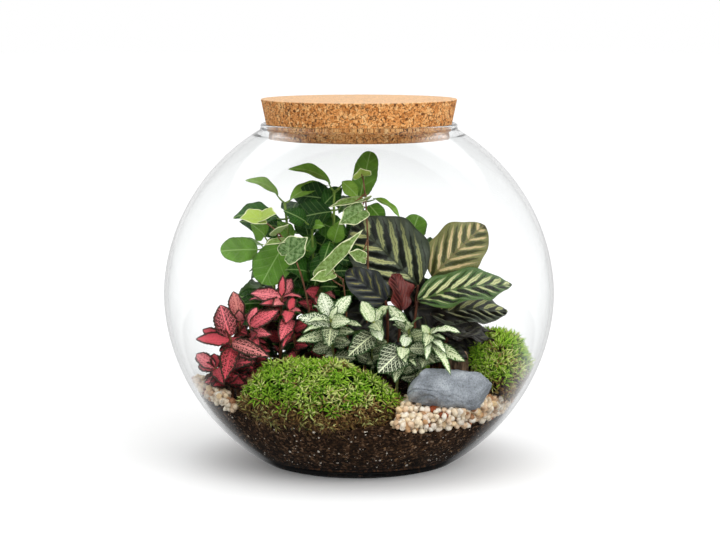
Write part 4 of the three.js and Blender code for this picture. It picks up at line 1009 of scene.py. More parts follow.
def blade(base, tip, width, kind, face, tone, rows=22, columns=13, crinkle=0.0, teeth=0.0, thickness=0.45,
          veins=None):
    """Rib + across * half * t * cos(fold) + normal * (half * |t| * sin(fold) + t^2 * edge waves - ribs)."""
    shape = BLADES[kind]
    length, along, normal, across = leaf_axes(base, tip, face)
    (a, b), fold = shape["blunt"], math.radians(shape["fold"])
    s = 0.5 - 0.5 * np.cos(np.pi * np.linspace(0.012, 0.988, rows))[:, None]
    t = np.linspace(-1, 1, columns)[None, :]
    peak = (a / (a + b)) ** a * (b / (a + b)) ** b
    side, start = np.where(t < 0, -1, 1), rng.uniform(0, 6.3)
    half = width / 2 * s ** a * (1 - s) ** b / peak
    half = half * (1 + shape.get("uneven", 0.03) * np.sin(15 * s + start + 1.7 * side))
    in_and_out = np.where(np.arange(rows) % 2, 1, -1)[:, None]
    half = half * (1 + teeth * in_and_out * np.abs(t) ** 6)
    bow = 4 * s * (1 - s) * shape["arch"] * length
    rib = np.array(base) + along * (s * length)[..., None] + normal * bow[..., None]
    ripple = shape["wave"] * t * t * np.sin(2 * np.pi * shape["waves"] * s + side)
    swept = shape["lean"] * np.abs(t) ** shape.get("sweep", 0.85) * 2 * half / length
    phase = (s + 0.04 - swept) * (veins or shape["veins"])
    tent = np.abs(t) * (1 - np.abs(t)) * 4
    relief = shape.get("ribs", 0.045) * width ** 0.6 * np.cos(2 * np.pi * phase) * tent * (width > 9)
    lift = half * np.abs(t) ** 1.15 * math.sin(fold) + ripple - relief
    middle = rib + across * (half * t * math.cos(fold))[..., None] + normal * lift[..., None]
    if crinkle:
        middle = middle + crinkle * noise(middle, 7, 3)[..., None] * normal
    thick = thickness * (1 - 0.6 * np.abs(t) ** 3) + 0 * s
    points, triangles = sheet(middle, thick)
    count = rows * columns
    x, y = half * t, length * s + 0 * t
    seed = rng.integers(0, 40)
    place = np.stack([x.ravel(), y.ravel(), np.full(count, float(seed))], -1)
    vein = np.stack([phase.ravel(), (np.abs(t) + 0 * s).ravel(), (half * (1 - np.abs(t))).ravel()], -1)
    age, chance = tone
    above = np.broadcast_to([age, chance, 0.0], (count, 3))
    below = np.broadcast_to([age, chance, 1.0], (count, 3))
    tones = np.concatenate([above, below])
    return surface(keep_inside(points), triangles, np.tile(place, (2, 1)), np.tile(vein, (2, 1)), tones)


print("leaf outlines:", ", ".join(BLADES))

# %% [markdown]
# An ivy leaf has lobes, so it is drawn in polar form about its stalk: a list of radii by angle gives the
# points of the lobes and the bays between them. A flat cut-out would look like paper; this one folds up
# along the midrib and dips between its veins.

# %% Ivy blade
# (Angle from the tip in degrees, radius as a share of the leaf's length), mirrored on the other side.
IVY_OUTLINE = ((0, 1.0), (26, 0.76), (48, 0.76), (78, 0.6), (108, 0.58), (150, 0.36), (180, 0.14))
IVY_FOLD = 16


def ivy_blade(base, tip, width, face, tone, rings=8, around=60):
    """Polar grid about the stalk: lobes are pointed and the bays between them rounded, by a sine ease."""
    length, along, normal, across = leaf_axes(base, tip, face)
    angle = np.linspace(-180, 180, around, endpoint=False)
    size = np.abs(angle)
    radius = np.zeros(around)
    for (low, r1), (high, r2) in zip(IVY_OUTLINE[:-1], IVY_OUTLINE[1:]):
        u = np.clip((size - low) / (high - low), 0, 1)
        ease = np.sin(0.5 * np.pi * u) if low == 0 else u * u * (3 - 2 * u)
        radius = np.where((size >= low) & (size <= high), r1 + (r2 - r1) * ease, radius)
    rho = np.linspace(0.1, 1, rings)[:, None]
    turn = np.radians(angle)
    sideways = length * radius * rho * np.sin(turn) * width / (1.1 * length)
    forward = length * radius * rho * np.cos(turn)
    star = np.cos(turn * 360 / 54) * rho * (1 - rho)
    lift = math.sin(math.radians(IVY_FOLD)) * np.abs(sideways)
    lift = lift - 0.02 * forward ** 2 / length - 0.03 * length * star
    middle = np.array(base) + across * sideways[..., None] + along * forward[..., None]
    middle = middle + normal * lift[..., None]
    half = 0.22 * normal
    rings3 = np.concatenate([middle + half, (middle - half)[::-1]])
    points, triangles = cap_rings(rings3, np.array([base + half, base - half]))
    flat = np.stack([sideways, forward, 0 * forward], -1)
    place = np.concatenate([flat, flat[::-1]]).reshape(-1, 3)
    margin = (1 - rho) * radius * length * np.where(size < 90, width / (0.95 * length), 1)
    edge = np.stack([rho + 0 * angle, np.abs(turn) + 0 * rho, margin], -1)
    vein = np.concatenate([edge, edge[::-1]]).reshape(-1, 3)
    under = np.repeat([0.0, 1.0], rings * around)
    tones = np.stack([np.full(len(under), tone[0]), np.full(len(under), tone[1]), under], -1)
    ends = np.zeros((2, 3))
    end_tone = np.array([[tone[0], tone[1], 0], [tone[0], tone[1], 1]])
    points = keep_inside(points)
    return surface(points, triangles, np.concatenate([place, ends]), np.concatenate([vein, ends]),
                   np.concatenate([tones, end_tone]))


print("an ivy leaf turns at", len(IVY_OUTLINE), "radii a side")

# %% [markdown]
# Stems rise straight out of the soil and then bend in one smooth curve to the head. Leaves sit on the stem
# at a given distance below its head, on thin stalks or directly.

# %% Stems
ROOT_DEPTH, STEM_UPRIGHT, LEAF_START = 13, 2, 0.8
KNOTS_A_STEM = 7
# Radii of stems and stalks.
SHOOT, COFFEE_STALK, IVY_STEM, IVY_STALK, CALATHEA_STALK, SHADED_STALK = 1.3, 0.8, 0.8, 0.6, 1.4, 1.1


def stem_curve(plant, steps=26):
    """Quadratic Bezier from just above the soil, by the knee, to the head: (1-u)^2 P + 2u(1-u) K + u^2 H."""
    x, y = plant["root"]
    ground = soil_height(float(x), float(y))
    head = np.array(plant["head"], float)
    knee = np.array(plant.get("knee", (x, y, (ground + head[2]) / 2)), float)
    start = np.array([x, y, ground + STEM_UPRIGHT])
    u = np.linspace(0, 1, steps)[:, None]
    return start, knee, head, (1 - u) ** 2 * start + 2 * u * (1 - u) * knee + u * u * head


def stem_tube(plant, radius, sides=9, taper=0.75, knots=0.0):
    """Tube along the curve with a straight root part below it; knots swell it by 1 + k max(0, cos)^8."""
    start, _, _, curve = stem_curve(plant)
    root = start - [0, 0, ROOT_DEPTH + STEM_UPRIGHT - 1]
    path = np.concatenate([root + (start - root) * np.linspace(0, 0.9, 5)[:, None], curve])
    share = np.linspace(0, 1, len(path))
    swell = 1 + knots * np.maximum(0, np.cos(share * 2 * np.pi * KNOTS_A_STEM)) ** 8
    width = radius * (1 - (1 - taper) * share) * swell
    return tube(path, width, sides)


def stem_point(plant, down, towards):
    """Point on the curve `down` below the head, moved 0.8 mm out of its middle towards the leaf."""
    start, knee, head, _ = stem_curve(plant, 2)
    u = 1 - (down + LEAF_START) / np.linalg.norm(head - start)
    middle = (1 - u) ** 2 * start + 2 * u * (1 - u) * knee + u * u * head
    return middle + LEAF_START * unit(np.array(towards, float) - middle)


def stalk(start, end, radius, steps=9, sag=0.06):
    """Thin tapering stalk with a slight sag."""
    u = np.linspace(0, 1, steps)[:, None]
    path = start + (np.array(end) - start) * u
    path[:, 2] -= (4 * sag * np.linalg.norm(np.array(end) - start) * u * (1 - u))[:, 0]
    return tube(path, radius * (1 - 0.4 * u[:, 0]), 7)


def leaf_reader(add):
    """The three leaf attributes, split into their numbers."""
    split = {}
    for title in ("place", "vein", "tone"):
        read = add("Attribute", attribute_name=title)
        split[title] = add("SeparateXYZ", {"Vector": read.outputs["Vector"]}).outputs
    return split


print("roots reach", ROOT_DEPTH, "mm down")

# %% [markdown]
# Nerve plants have small oval leaves with a raised net of coloured veins: a midrib, arching side veins and
# a fine net between them. A texture of the net could be painted, but a Voronoi pattern laid along the side
# veins gives the same net at its real size, about 2 by 1.4 mm a cell, different on each leaf. Young leaves
# are nearly all vein colour, and old ones show more of the dark cells.

# %% Nerve plant leaf
# Shifts in the pattern, so that each side of the midrib and each leaf gets a part of its own.
OTHER_SIDE, NEXT_LEAF = 113.0, 61.0


def nerve_leaf(name, vein_colours, cell_colours, outside, margin, under, young_net, old_net, rim_width):
    """Vein colour where the net, a side vein or the midrib runs, cell colour between, and a dark rim."""
    material, add = new_material(name)
    read = leaf_reader(add)
    x, _, seed = read["place"]
    phase, t, inset = read["vein"]
    age, chance, below = read["tone"]
    out = add("Math", {0: x}, operation="ABSOLUTE")
    side = add("Math", {0: x, 1: 0}, operation="GREATER_THAN")
    far = add("Math", {0: side, 1: OTHER_SIDE, 2: out}, operation="MULTIPLY_ADD")
    rows = add("Math", {0: seed, 1: NEXT_LEAF, 2: phase}, operation="MULTIPLY_ADD")
    laid = add("CombineXYZ", {0: far, 1: rows})
    cells = add("Mapping", {"Vector": laid, "Scale": (0.5, 2.5, 1.0)})
    net = add("TexVoronoi", {
        "Vector": cells, "Scale": 1, "Randomness": 0.8}, voronoi_dimensions="2D", feature="DISTANCE_TO_EDGE")
    ripe = add("MapRange", {"Value": age, "To Min": young_net, "To Max": old_net})
    outer = add("MapRange", {"Value": t, "From Min": 0.3, "To Min": 1, "To Max": 0.6})
    width = add("Math", {0: ripe, 1: outer}, operation="MULTIPLY")
    inner = add("Math", {0: width, 1: -0.07}, operation="ADD")
    fine = add("MapRange", {"Value": net, "From Min": inner, "From Max": width, "To Min": 1, "To Max": 0})
    near = add("Math", {0: phase, 1: 0.5}, operation="PINGPONG")
    lateral = add("MapRange", {"Value": near, "From Min": 0.03, "From Max": 0.1, "To Min": 1, "To Max": 0})
    rib = add("MapRange", {"Value": out, "From Min": 0.3, "From Max": 0.65, "To Min": 1, "To Max": 0})
    both = add("Math", {0: fine, 1: lateral}, operation="MAXIMUM")
    veins = add("Math", {0: both, 1: rib}, operation="MAXIMUM")
    cell = add("ValToRGB", {"Fac": age}, stops=cell_colours)
    line = add("ValToRGB", {"Fac": chance}, stops=vein_colours)
    shaded = add("MapRange", {"Value": t, "From Min": 0.25, "To Max": 0.45})
    deeper = add("Mix", {0: shaded, 6: line, 7: outside}, data_type="RGBA")
    drawn = add("Mix", {0: veins, 6: cell, 7: deeper}, data_type="RGBA")
    flat = add("Attribute", attribute_name="place")
    waver = add("TexNoise", {"Vector": flat.outputs["Vector"], "Scale": 0.5, "Detail": 2.0})
    edge = add("Math", {0: waver, 1: -rim_width, 2: inset}, operation="MULTIPLY_ADD")
    rim = add("MapRange", {"Value": edge, "From Min": 0, "From Max": 0.3, "To Min": 0.92, "To Max": 0})
    edged = add("Mix", {0: rim, 6: drawn, 7: margin}, data_type="RGBA")
    sides = add("Mix", {0: below, 6: edged, 7: under}, data_type="RGBA")
    bump = add("Bump", {"Height": veins, "Strength": 0.5, "Distance": 0.3 * MM}, invert=True)
    shader = add("BsdfPrincipled", {
        "Base Color": sides, "Roughness": 0.46, "Specular IOR Level": 0.25, "Normal": bump})
    return finish_material(material, shader)


def plain_stem(name, low, high, roughness=0.55):
    """Stem with fine lengthwise mottling between two colours."""
    material, add = new_material(name)
    place = add("TexCoord").outputs["Object"]
    grain = add("Mapping", {"Vector": place, "Scale": (0.9 / MM, 0.9 / MM, 0.16 / MM)})
    mottle = add("TexNoise", {"Vector": grain, "Scale": 1, "Detail": 3.0})
    colour = add("ValToRGB", {"Fac": mottle}, stops=[(0.35, low), (0.65, high)])
    shader = add("BsdfPrincipled", {"Base Color": colour, "Roughness": roughness, "Specular IOR Level": 0.25})
    return finish_material(material, shader)


# %% [markdown]
# Each shoot stands where its CAD node stands. Its leaves in view are placed one by one, and small extra ones
# further down fill the clump, since a real nerve plant is much denser than a list of its visible leaves. The
# extra ones take old ages and the dark end of the vein colours, partly as older leaves and partly as painted
# shade deep in the clump.

# %% Nerve plants
# Leaves: how far below the head, the tip's place from the head x, y, z, the width, and the face, which is
# the front where none is named.
RED_FITTONIA = [
    dict(root=[-90, -56], head=[-95, -70, 108], leaves=[
        [0, -7, 4, 23, 18], [4, -21, 14, 3, 10], [2, -24, -4, -1, 11], [0, -10, -10, 8, 7, "up"],
        [4, 30, -18, -12, 12], [8, -2, -22, -28, 14], [12, 21, -2, -15, 11], [24, 18, -22, -15, 11],
        [8, 4, 20, -4, 11, "back"],
    ]),
    dict(root=[-60, -32], head=[-58, -42, 134], leaves=[
        [0, -23, -6, 3, 12], [0, 1, 2, 16, 7], [2, 7, 12, 12, 11], [0, 16, -4, -1, 7, "up"],
        [4, -6, -16, -5, 10], [4, -16, -14, -4, 7], [6, -25, 8, -4, 11, "up"], [6, 8, 20, -2, 11, "back"],
    ]),
    dict(root=[-88, -36], head=[-89, -50, 117], leaves=[
        [0, -5, 6, 21, 13], [0, 0, -6, 9, 10], [4, -18, 6, 4, 10], [6, -14, 16, -2, 11, "back"],
        [6, 10, 18, 4, 11, "back"],
    ]),
    dict(root=[-74, -50], head=[-81, -62, 115], leaves=[
        [0, 5, 6, 13, 10], [0, 22, -4, 12, 12], [5, 17, -12, -5, 10], [8, 8, -16, -14, 10],
    ]),
    dict(root=[-94, -54], head=[-106, -66, 84], leaves=[
        [0, -15, 14, 8, 11], [0, -13, 8, 0, 8], [0, 8, -22, -8, 10], [0, -2, 10, 9, 8, "up"],
    ]),
    dict(root=[-46, -42], head=[-52, -52, 125], leaves=[
        [0, -2, -12, -8, 11], [6, -6, -20, -20, 13], [14, -5, -22, -26, 7], [0, 9, 4, -2, 10, "up"],
        [0, 3, 8, 9, 8],
    ]),
    dict(root=[-30, -22], head=[-28, -22, 133], leaves=[
        [0, -13, -4, 3, 12], [0, 10, 2, -4, 11], [0, -3, 8, 7, 11], [4, -4, -14, -6, 10, "up"],
        [6, 10, 16, -4, 11, "back"],
    ]),
]

WHITE_FITTONIA = [
    dict(root=[-19, -48], head=[-21, -62, 120], leaves=[
        [0, -7, 12, 18, 13], [0, 15, 10, 16, 11], [0, 5, -2, 10, 6], [4, -24, -6, 2, 13],
        [2, -13, 8, 9, 8, "up"], [3, -17, -12, -1, 8, "up"], [8, -20, -16, -8, 8, "up"],
        [12, -25, -10, -15, 10], [6, -1, -22, -17, 14], [2, 15, -12, 0, 12], [8, 23, -10, -4, 11, "up"],
        [6, -12, 18, 0, 12, "back"],
    ]),
    dict(root=[10, -48], head=[11, -64, 118], leaves=[
        [0, 5, -12, -5, 12], [0, -9, 10, 14, 11], [0, 5, 12, 8, 10, "up"], [10, -19, -16, -23, 17],
        [2, 6, -8, -13, 11], [2, 11, 14, 10, 10, "up"],
    ]),
    dict(root=[48, -58], head=[52, -74, 111], leaves=[
        [0, 22, -10, 2, 11, "up"], [0, -4, -16, -7, 10], [0, -6, 2, 6, 7], [4, -3, -18, -17, 7],
        [6, 14, -26, -26, 8, "up"], [8, 25, -15, -18, 11], [4, 11, -18, -12, 7, "up"],
        [2, 11, -10, -3, 6, "up"], [4, 8, 16, 2, 11, "back"],
    ]),
    dict(root=[28, -58], head=[33, -74, 101], leaves=[
        [2, -19, -18, -16, 23], [0, -2, -14, -7, 11], [4, 1, -12, -10, 8, "up"], [8, 9, -9, -13, 6, "up"],
        [0, 3, 12, 7, 10], [12, -7, -14, -24, 10],
    ]),
    dict(root=[38, -46], head=[37, -62, 113], leaves=[
        [0, -15, -12, 8, 11, "up"], [0, -2, -9, 7, 8], [2, -15, 14, 15, 10], [4, -12, 4, 2, 10, "up"],
        [4, 10, 14, 6, 10, "back"],
    ]),
]


def nerve_plant(plant, extra):
    """Leaves straight on the stem, and small extra ones further down that fill the clump."""
    x, y, z = plant["head"]
    surfaces = []
    for down, dx, dy, dz, width, *named in plant["leaves"]:
        tip = np.array([x + dx, y + dy, z + dz], float)
        face = named[0] if named else "front"
        age = np.clip(0.15 + down / 22 + (width - 11) / 9 + rng.normal(0, 0.14), 0, 1)
        look = (age, rng.uniform(0.25, 0.92))
        surfaces.append(blade(stem_point(plant, down, tip), tip, width, "fittonia", face, look,
                              rows=28, columns=9, teeth=0.045))
    low = soil_height(*map(float, plant["root"])) + 12
    for _ in range(extra):
        down = rng.uniform(8, max(12, z - low))
        turn, reach = rng.uniform(0, 2 * np.pi), rng.uniform(12, 20)
        middle = stem_point(plant, down, (x, y, z + 50))
        tip = middle + [reach * math.cos(turn), reach * math.sin(turn), rng.uniform(-5, 6)]
        face = "front" if math.sin(turn) < 0.3 else "back"
        # Extra leaves take old ages and the dark end of the vein colours, partly as older leaves and partly
        # as painted shade.
        width, look = rng.uniform(9, 13), (rng.uniform(0.5, 1), 0.5 * rng.random())
        surfaces.append(blade(stem_point(plant, down, tip), tip, width, "fittonia", face, look,
                              rows=14, columns=7, teeth=0.04))
    stem = surface(*stem_tube(plant, SHOOT), tone=(0, 0, 0), material=1)
    return surfaces + [stem]


red_leaf = nerve_leaf(
    "red_nerve_leaf",
    vein_colours=[(0, "882c34"), (0.3, "d44a56"), (0.5, "ee6c76"), (0.75, "fc949a"), (0.88, "e88c8a"),
                  (0.95, "ac7a50")],
    cell_colours=[(0, "c0444e"), (0.35, "8c3236"), (0.7, "46241c"), (1, "2a2216")],
    outside="a8484a", margin="322e22", under="6a4434", young_net=0.27, old_net=0.13, rim_width=2.3)
white_leaf = nerve_leaf(
    "white_nerve_leaf",
    vein_colours=[(0, "b4bc8c"), (0.4, "dde3b8"), (0.7, "eef3d2"), (1, "f8fae6")],
    cell_colours=[(0, "86ac50"), (0.35, "3c6228"), (0.7, "1c3616"), (1, "12260c")],
    outside="dce6be", margin="34582a", under="7a9460", young_net=0.3, old_net=0.1, rim_width=1.1)
red_stem = plain_stem("hairy_red_brown_stem", "6b3a2a", "9a6a48", 0.7)
white_stem = plain_stem("hairy_green_stem", "6d7a3e", "a3a765", 0.7)
# Colour, shoots, extra leaves a shoot, and the finishes of leaf and stem.
NERVE_PLANTS = [
    ("red", RED_FITTONIA, 18, [red_leaf, red_stem]),
    ("white", WHITE_FITTONIA, 15, [white_leaf, white_stem]),
]
for colour, shoots, extra, finishes in NERVE_PLANTS:
    for number, plant in enumerate(shoots, 1):
        make_piece(f"{colour}_nerve_plant_{number}", nerve_plant(plant, extra), finishes,
                   [f"{colour}_fittonia_{number}"])

# %% [markdown]
# Coffee seedlings have glossy leaves in pairs, with a pale midrib and side veins that sink into the blade.
# The first pair, the seed leaves, is round and brighter green, with a wavy edge. Young top leaves are light
# and yellowish, older ones deep and slightly blue.

# %% Coffee leaf
def coffee_leaf():
    """Green by age and blotch; midrib and side veins are paler and, by the bump, sunk into the blade."""
    material, add = new_material("glossy_coffee_leaf")
    read = leaf_reader(add)
    x, phase = read["place"][0], read["vein"][0]
    age, _, below = read["tone"]
    flat = add("Attribute", attribute_name="place")
    blotch = add("TexNoise", {"Vector": flat.outputs["Vector"], "Scale": 0.16, "Detail": 3.0})
    # The dark end of this ramp, which the old inner leaves take, is partly painted shade for the clump's
    # middle.
    base = add("ValToRGB", {"Fac": age}, stops=[
        (0, "9cc24a"), (0.25, "74a338"), (0.5, "58882a"), (0.75, "2f5e18"), (1, "143a0c")])
    shade = add("ValToRGB", {"Fac": blotch}, stops=[(0.3, "b8b8b8"), (0.7, "ffffff")])
    tinted_base = add("Mix", {0: 0.6, 6: base, 7: shade}, data_type="RGBA", blend_type="MULTIPLY")
    out = add("Math", {0: x}, operation="ABSOLUTE")
    rib = add("MapRange", {"Value": out, "From Min": 0.25, "From Max": 0.6, "To Min": 0.55, "To Max": 0})
    near = add("Math", {0: phase, 1: 0.5}, operation="PINGPONG")
    lateral = add("MapRange", {"Value": near, "From Min": 0.01, "From Max": 0.08, "To Min": 0.2, "To Max": 0})
    veins = add("Math", {0: rib, 1: lateral}, operation="MAXIMUM")
    drawn = add("Mix", {0: veins, 6: tinted_base, 7: "a8c878"}, data_type="RGBA")
    pale = add("Math", {0: below, 1: 0.55}, operation="MULTIPLY")
    sides = add("Mix", {0: pale, 6: drawn, 7: "8db86a"}, data_type="RGBA")
    bump = add("Bump", {"Height": veins, "Strength": 0.6, "Distance": 0.4 * MM}, invert=True)
    shader = add("BsdfPrincipled", {
        "Base Color": sides, "Roughness": 0.34, "Specular IOR Level": 0.22, "Normal": bump})
    return finish_material(material, shader)


glossy = coffee_leaf()
coffee_stem = plain_stem("green_coffee_stem", "5c7a2e", "8aa34a")

# %% [markdown]
# The seedlings stand in pairs of leaves up a thin stem. Leaves in view are placed one by one, a second list
# adds those behind them, and inner leaves all round the stem fill the dark middle of the clump. These take
# the darkest greens, partly as older leaves and partly as painted shade.

# %% Coffee seedlings
# Age by kind, from lime at 0 to deep green at 1.
AGES = {"seed": 0.42, "young": 0.2, "coffee": 0.8}
# Leaves: how far below the head, base x, y, z, tip x, y, z, width, kind, and the face.
COFFEE = [
    dict(root=[-50, 4], head=[-57, 0, 201], leaves=[
        [0, -62, -3, 207, -86, -14, 219, 13, "young", "tilted"],
        [0, -53, 2, 203, -24, 20, 212, 14, "young", "tilted"],
        [12, -63, -8, 190, -95, -20, 191, 22, "coffee", "tilted"],
        [12, -52, 8, 190, -46, 40, 196, 22, "coffee", "back"],
    ]),
    dict(root=[-20, 6], head=[-19, -5, 210], leaves=[
        [0, -22, -6, 216, -53, -22, 228, 15, "young", "tilted"],
        [0, -13, -2, 217, -1, 2, 205, 12, "young", "front"],
        [14, -27, 2, 196, -38, 34, 201, 26, "coffee", "front"],
        [14, -15, 8, 196, -4, 42, 200, 22, "coffee", "back"],
        [36, -19, -15, 172, -14, -20, 189, 14, "young", "front"],
        [38, -22, -14, 172, -28, -26, 154, 11, "coffee", "front"],
    ]),
    dict(root=[2, 14], head=[1, 12, 201], leaves=[
        [0, 1, 13, 204, 9, 18, 239, 19, "seed", "front"], [4, 8, 7, 198, 18, -4, 187, 14, "seed", "front"],
        [0, 11, 11, 203, 32, 4, 188, 8, "young", "up"],
        [10, -2, 20, 194, -16, 46, 188, 18, "young", "back"],
    ]),
    dict(root=[-64, -8], head=[-66, -12, 170], leaves=[
        [0, -77, -22, 167, -104, -32, 167, 20, "seed", "front"],
        [0, -58, -26, 169, -73, -38, 143, 29, "seed", "front"],
        [2, -72, -8, 176, -82, -18, 186, 16, "young", "front"],
        [6, -74, 0, 168, -98, 16, 160, 18, "young", "back"],
    ]),
    dict(root=[36, 26], head=[38, 33, 162], leaves=[
        [0, 40, 34, 168, 47, 40, 187, 20, "seed", "front"],
        [2, 44, 40, 162, 62, 58, 158, 20, "coffee", "back"],
        [2, 32, 42, 162, 20, 66, 164, 20, "coffee", "back"],
    ]),
    dict(root=[-34, -4], head=[-36, -8, 184], leaves=[
        [0, -41, -8, 187, -57, -16, 196, 15, "coffee", "front"],
        [2, -34, -12, 184, -26, -24, 185, 9, "young", "front"],
        [20, -42, -12, 168, -56, -20, 158, 14, "coffee", "front"],
        [34, -30, -12, 156, -20, -24, 140, 14, "coffee", "front"],
    ]),
    dict(root=[-12, 40], head=[-14, 44, 168], leaves=[
        [0, -22, 46, 172, -54, 58, 170, 22, "coffee", "back"],
        [0, -6, 48, 172, 18, 84, 160, 24, "coffee", "back"],
        [20, -16, 52, 150, -32, 92, 134, 24, "coffee", "back"],
        [34, -22, 46, 136, -60, 62, 122, 22, "coffee", "back"],
    ]),
]


def stalked_leaf(plant, row, radius, tone, rows=22, columns=11):
    """A blade on a stalk: the row gives the distance down the stem, base, tip, width, kind and face."""
    down, *numbers, width, kind, face = row
    base, tip = np.array(numbers[:3], float), np.array(numbers[3:], float)
    start = stem_point(plant, down, base)
    stalk_end = base + 1.4 * unit(tip - base)
    held = surface(*stalk(start, stalk_end, radius), tone=(0, 0, 0), material=1)
    if kind == "ivy":
        return [ivy_blade(base, tip, width, face, tone), held]
    if kind == "seed":
        return [blade(base, tip, width, kind, face, tone, rows=26, columns=13, teeth=0.012), held]
    return [blade(base, tip, width, kind, face, tone, rows=rows, columns=columns), held]


def hung_leaf(plant, base, tip, width, kind, face, tone, radius=0.7, **grid):
    """A stalked leaf whose stalk leaves the stem 6 mm below the blade's base."""
    start, _, head, _ = stem_curve(plant, 2)
    down = (head[2] - base[2] + 6) * np.linalg.norm(head - start) / (head[2] - start[2])
    return stalked_leaf(plant, [max(down, 1), *base, *tip, width, kind, face], radius, tone, **grid)


def inner_leaves(plant, count, low, high, length, width, front_top=200, reach=6):
    """Older leaves all round the stem between two heights; those in front stay below front_top."""
    surfaces = []
    top = plant["head"][2]
    for _ in range(count):
        height = rng.uniform(low, min(high, top - 8))
        turn = rng.uniform(0, 2 * np.pi)
        height = min(height, front_top) if math.sin(turn) < 0.1 else height
        out = np.array([math.cos(turn), math.sin(turn), 0])
        stem = stem_point(plant, max(top - height, 1), np.array(plant["head"]) + [0, 0, 50])
        base = stem * [1, 1, 0] + [0, 0, height] + out * reach
        tip = base + out * rng.uniform(*length) + [0, 0, rng.uniform(-10, 8)]
        face = "front" if math.sin(turn) < 0.2 else "back"
        # Inner leaves take ages 0.75 to 1, the darkest greens, partly as older leaves and partly as painted
        # shade.
        surfaces += hung_leaf(plant, base, tip, rng.uniform(*width), "coffee", face,
                              (rng.uniform(0.75, 1), rng.random()), rows=14, columns=7)
    return surfaces


# More leaves by plant: base, tip, width, and age. They face the front, and those under 0.5 are young.
MORE_COFFEE = {
    1: [((-58, 8, 180), (-92, 2, 186), 22, 0.85), ((-56, 4, 171), (-74, 0, 164), 14, 0.7),
        ((-51, 4, 173), (-63, 2, 186), 12, 0.3)],
    2: [((-19, 4, 202), (-52, 10, 205), 24, 0.95), ((-21, -2, 194), (-54, 2, 186), 24, 0.9),
        ((-28, 0, 198), (-13, 6, 212), 15, 0.8), ((-31, 6, 185), (-8, 0, 174), 20, 0.65),
        ((-39, 10, 172), (-45, 14, 197), 18, 0.75)],
    3: [((-5, 0, 164), (-15, -12, 136), 16, 0.85), ((-6, 4, 178), (-20, 2, 154), 17, 0.7),
        ((3, 8, 190), (-10, 12, 200), 13, 0.6), ((-22, 22, 178), (-33, 20, 156), 19, 0.85),
        ((2, 18, 188), (-8, 18, 172), 15, 0.8), ((-14, 12, 144), (-22, 8, 120), 19, 0.95)],
    4: [((-60, 2, 155), (-76, -4, 136), 15, 0.9)],
    6: [((-27, -20, 165), (-34, -24, 138), 14, 0.85), ((-44, -12, 157), (-27, -18, 134), 17, 0.8),
        ((-35, -2, 176), (-47, -6, 154), 15, 0.6), ((-44, -10, 148), (-60, -14, 128), 16, 0.9),
        ((-36, -8, 150), (-44, -12, 122), 18, 0.95), ((-30, -10, 142), (-22, -16, 113), 18, 0.95),
        ((-26, -10, 160), (-10, -14, 136), 18, 0.95)],
}

INNER_LOW, INNER_HIGH = 68, 160
INNER_LENGTH, INNER_WIDTH = (24, 36), (13, 20)
CROWDED, CROWDED_COUNT, USUAL_COUNT = (3, 4, 6), 32, 16
FRONT_TOP = {4: 124}
for number, plant in enumerate(COFFEE, 1):
    surfaces = [surface(*stem_tube(plant, SHOOT, knots=0.25), tone=(0, 0, 0), material=1)]
    for row in plant["leaves"]:
        age = np.clip(AGES[row[8]] + rng.normal(0, 0.07), 0, 1)
        surfaces += stalked_leaf(plant, row, COFFEE_STALK, (age, rng.random()))
    for base, tip, width, age in MORE_COFFEE.get(number, []):
        kind = "young" if age < 0.5 else "coffee"
        surfaces += hung_leaf(plant, base, tip, width, kind, "front", (age, rng.random()))
    count = CROWDED_COUNT if number in CROWDED else USUAL_COUNT
    surfaces += inner_leaves(plant, count, INNER_LOW, INNER_HIGH, INNER_LENGTH, INNER_WIDTH,
                             front_top=FRONT_TOP.get(number, 200))
    make_piece(f"coffee_plant_{number}", surfaces, [glossy, coffee_stem],
               [f"coffee_seedling_{number}"])

# %% [markdown]
# Variegated ivy: a grey-green centre with darker patches, a cream margin of uneven width, and pale veins
# that fan out from the stalk. The newest leaves are lime.

# %% Ivy leaf
# Half the angle between two veins, in radians.
VEIN_FAN = 0.452


def ivy_leaf():
    """Cream where the edge is nearer than 1.9 mm times a cloudy noise, grey-green patches inside it."""
    material, add = new_material("variegated_ivy_leaf")
    read = leaf_reader(add)
    rho, turn, margin = read["vein"]
    age, _, below = read["tone"]
    flat = add("Attribute", attribute_name="place")
    cloud = add("TexNoise", {"Vector": flat.outputs["Vector"], "Scale": 0.35, "Detail": 3.0})
    uneven = add("Math", {0: cloud, 1: -1.9, 2: margin}, operation="MULTIPLY_ADD")
    cream = add("MapRange", {"Value": uneven, "From Min": -0.5, "From Max": -0.1, "To Min": 1, "To Max": 0})
    patch = add("ValToRGB", {"Fac": cloud}, stops=[(0.38, "3a5828"), (0.48, "587a42"), (0.6, "7f9a64")])
    young = add("Mix", {0: age, 6: "b4ca56", 7: patch}, data_type="RGBA")
    variegated = add("Mix", {0: cream, 6: young, 7: "e9ebbd"}, data_type="RGBA")
    fan = add("Math", {0: turn, 1: VEIN_FAN}, operation="PINGPONG")
    near = add("Math", {0: fan, 1: rho}, operation="MULTIPLY")
    veins = add("MapRange", {"Value": near, "From Min": 0.008, "From Max": 0.03, "To Min": 0.35, "To Max": 0})
    drawn = add("Mix", {0: veins, 6: variegated, 7: "b4c68c"}, data_type="RGBA")
    pale = add("Math", {0: below, 1: 0.5}, operation="MULTIPLY")
    sides = add("Mix", {0: pale, 6: drawn, 7: "b9c98e"}, data_type="RGBA")
    shader = add("BsdfPrincipled", {"Base Color": sides, "Roughness": 0.42, "Specular IOR Level": 0.3})
    return finish_material(material, shader)


ivy_skin = ivy_leaf()
ivy_stem = plain_stem("pinkish_brown_ivy_stem", "5c3a2a", "94674c")

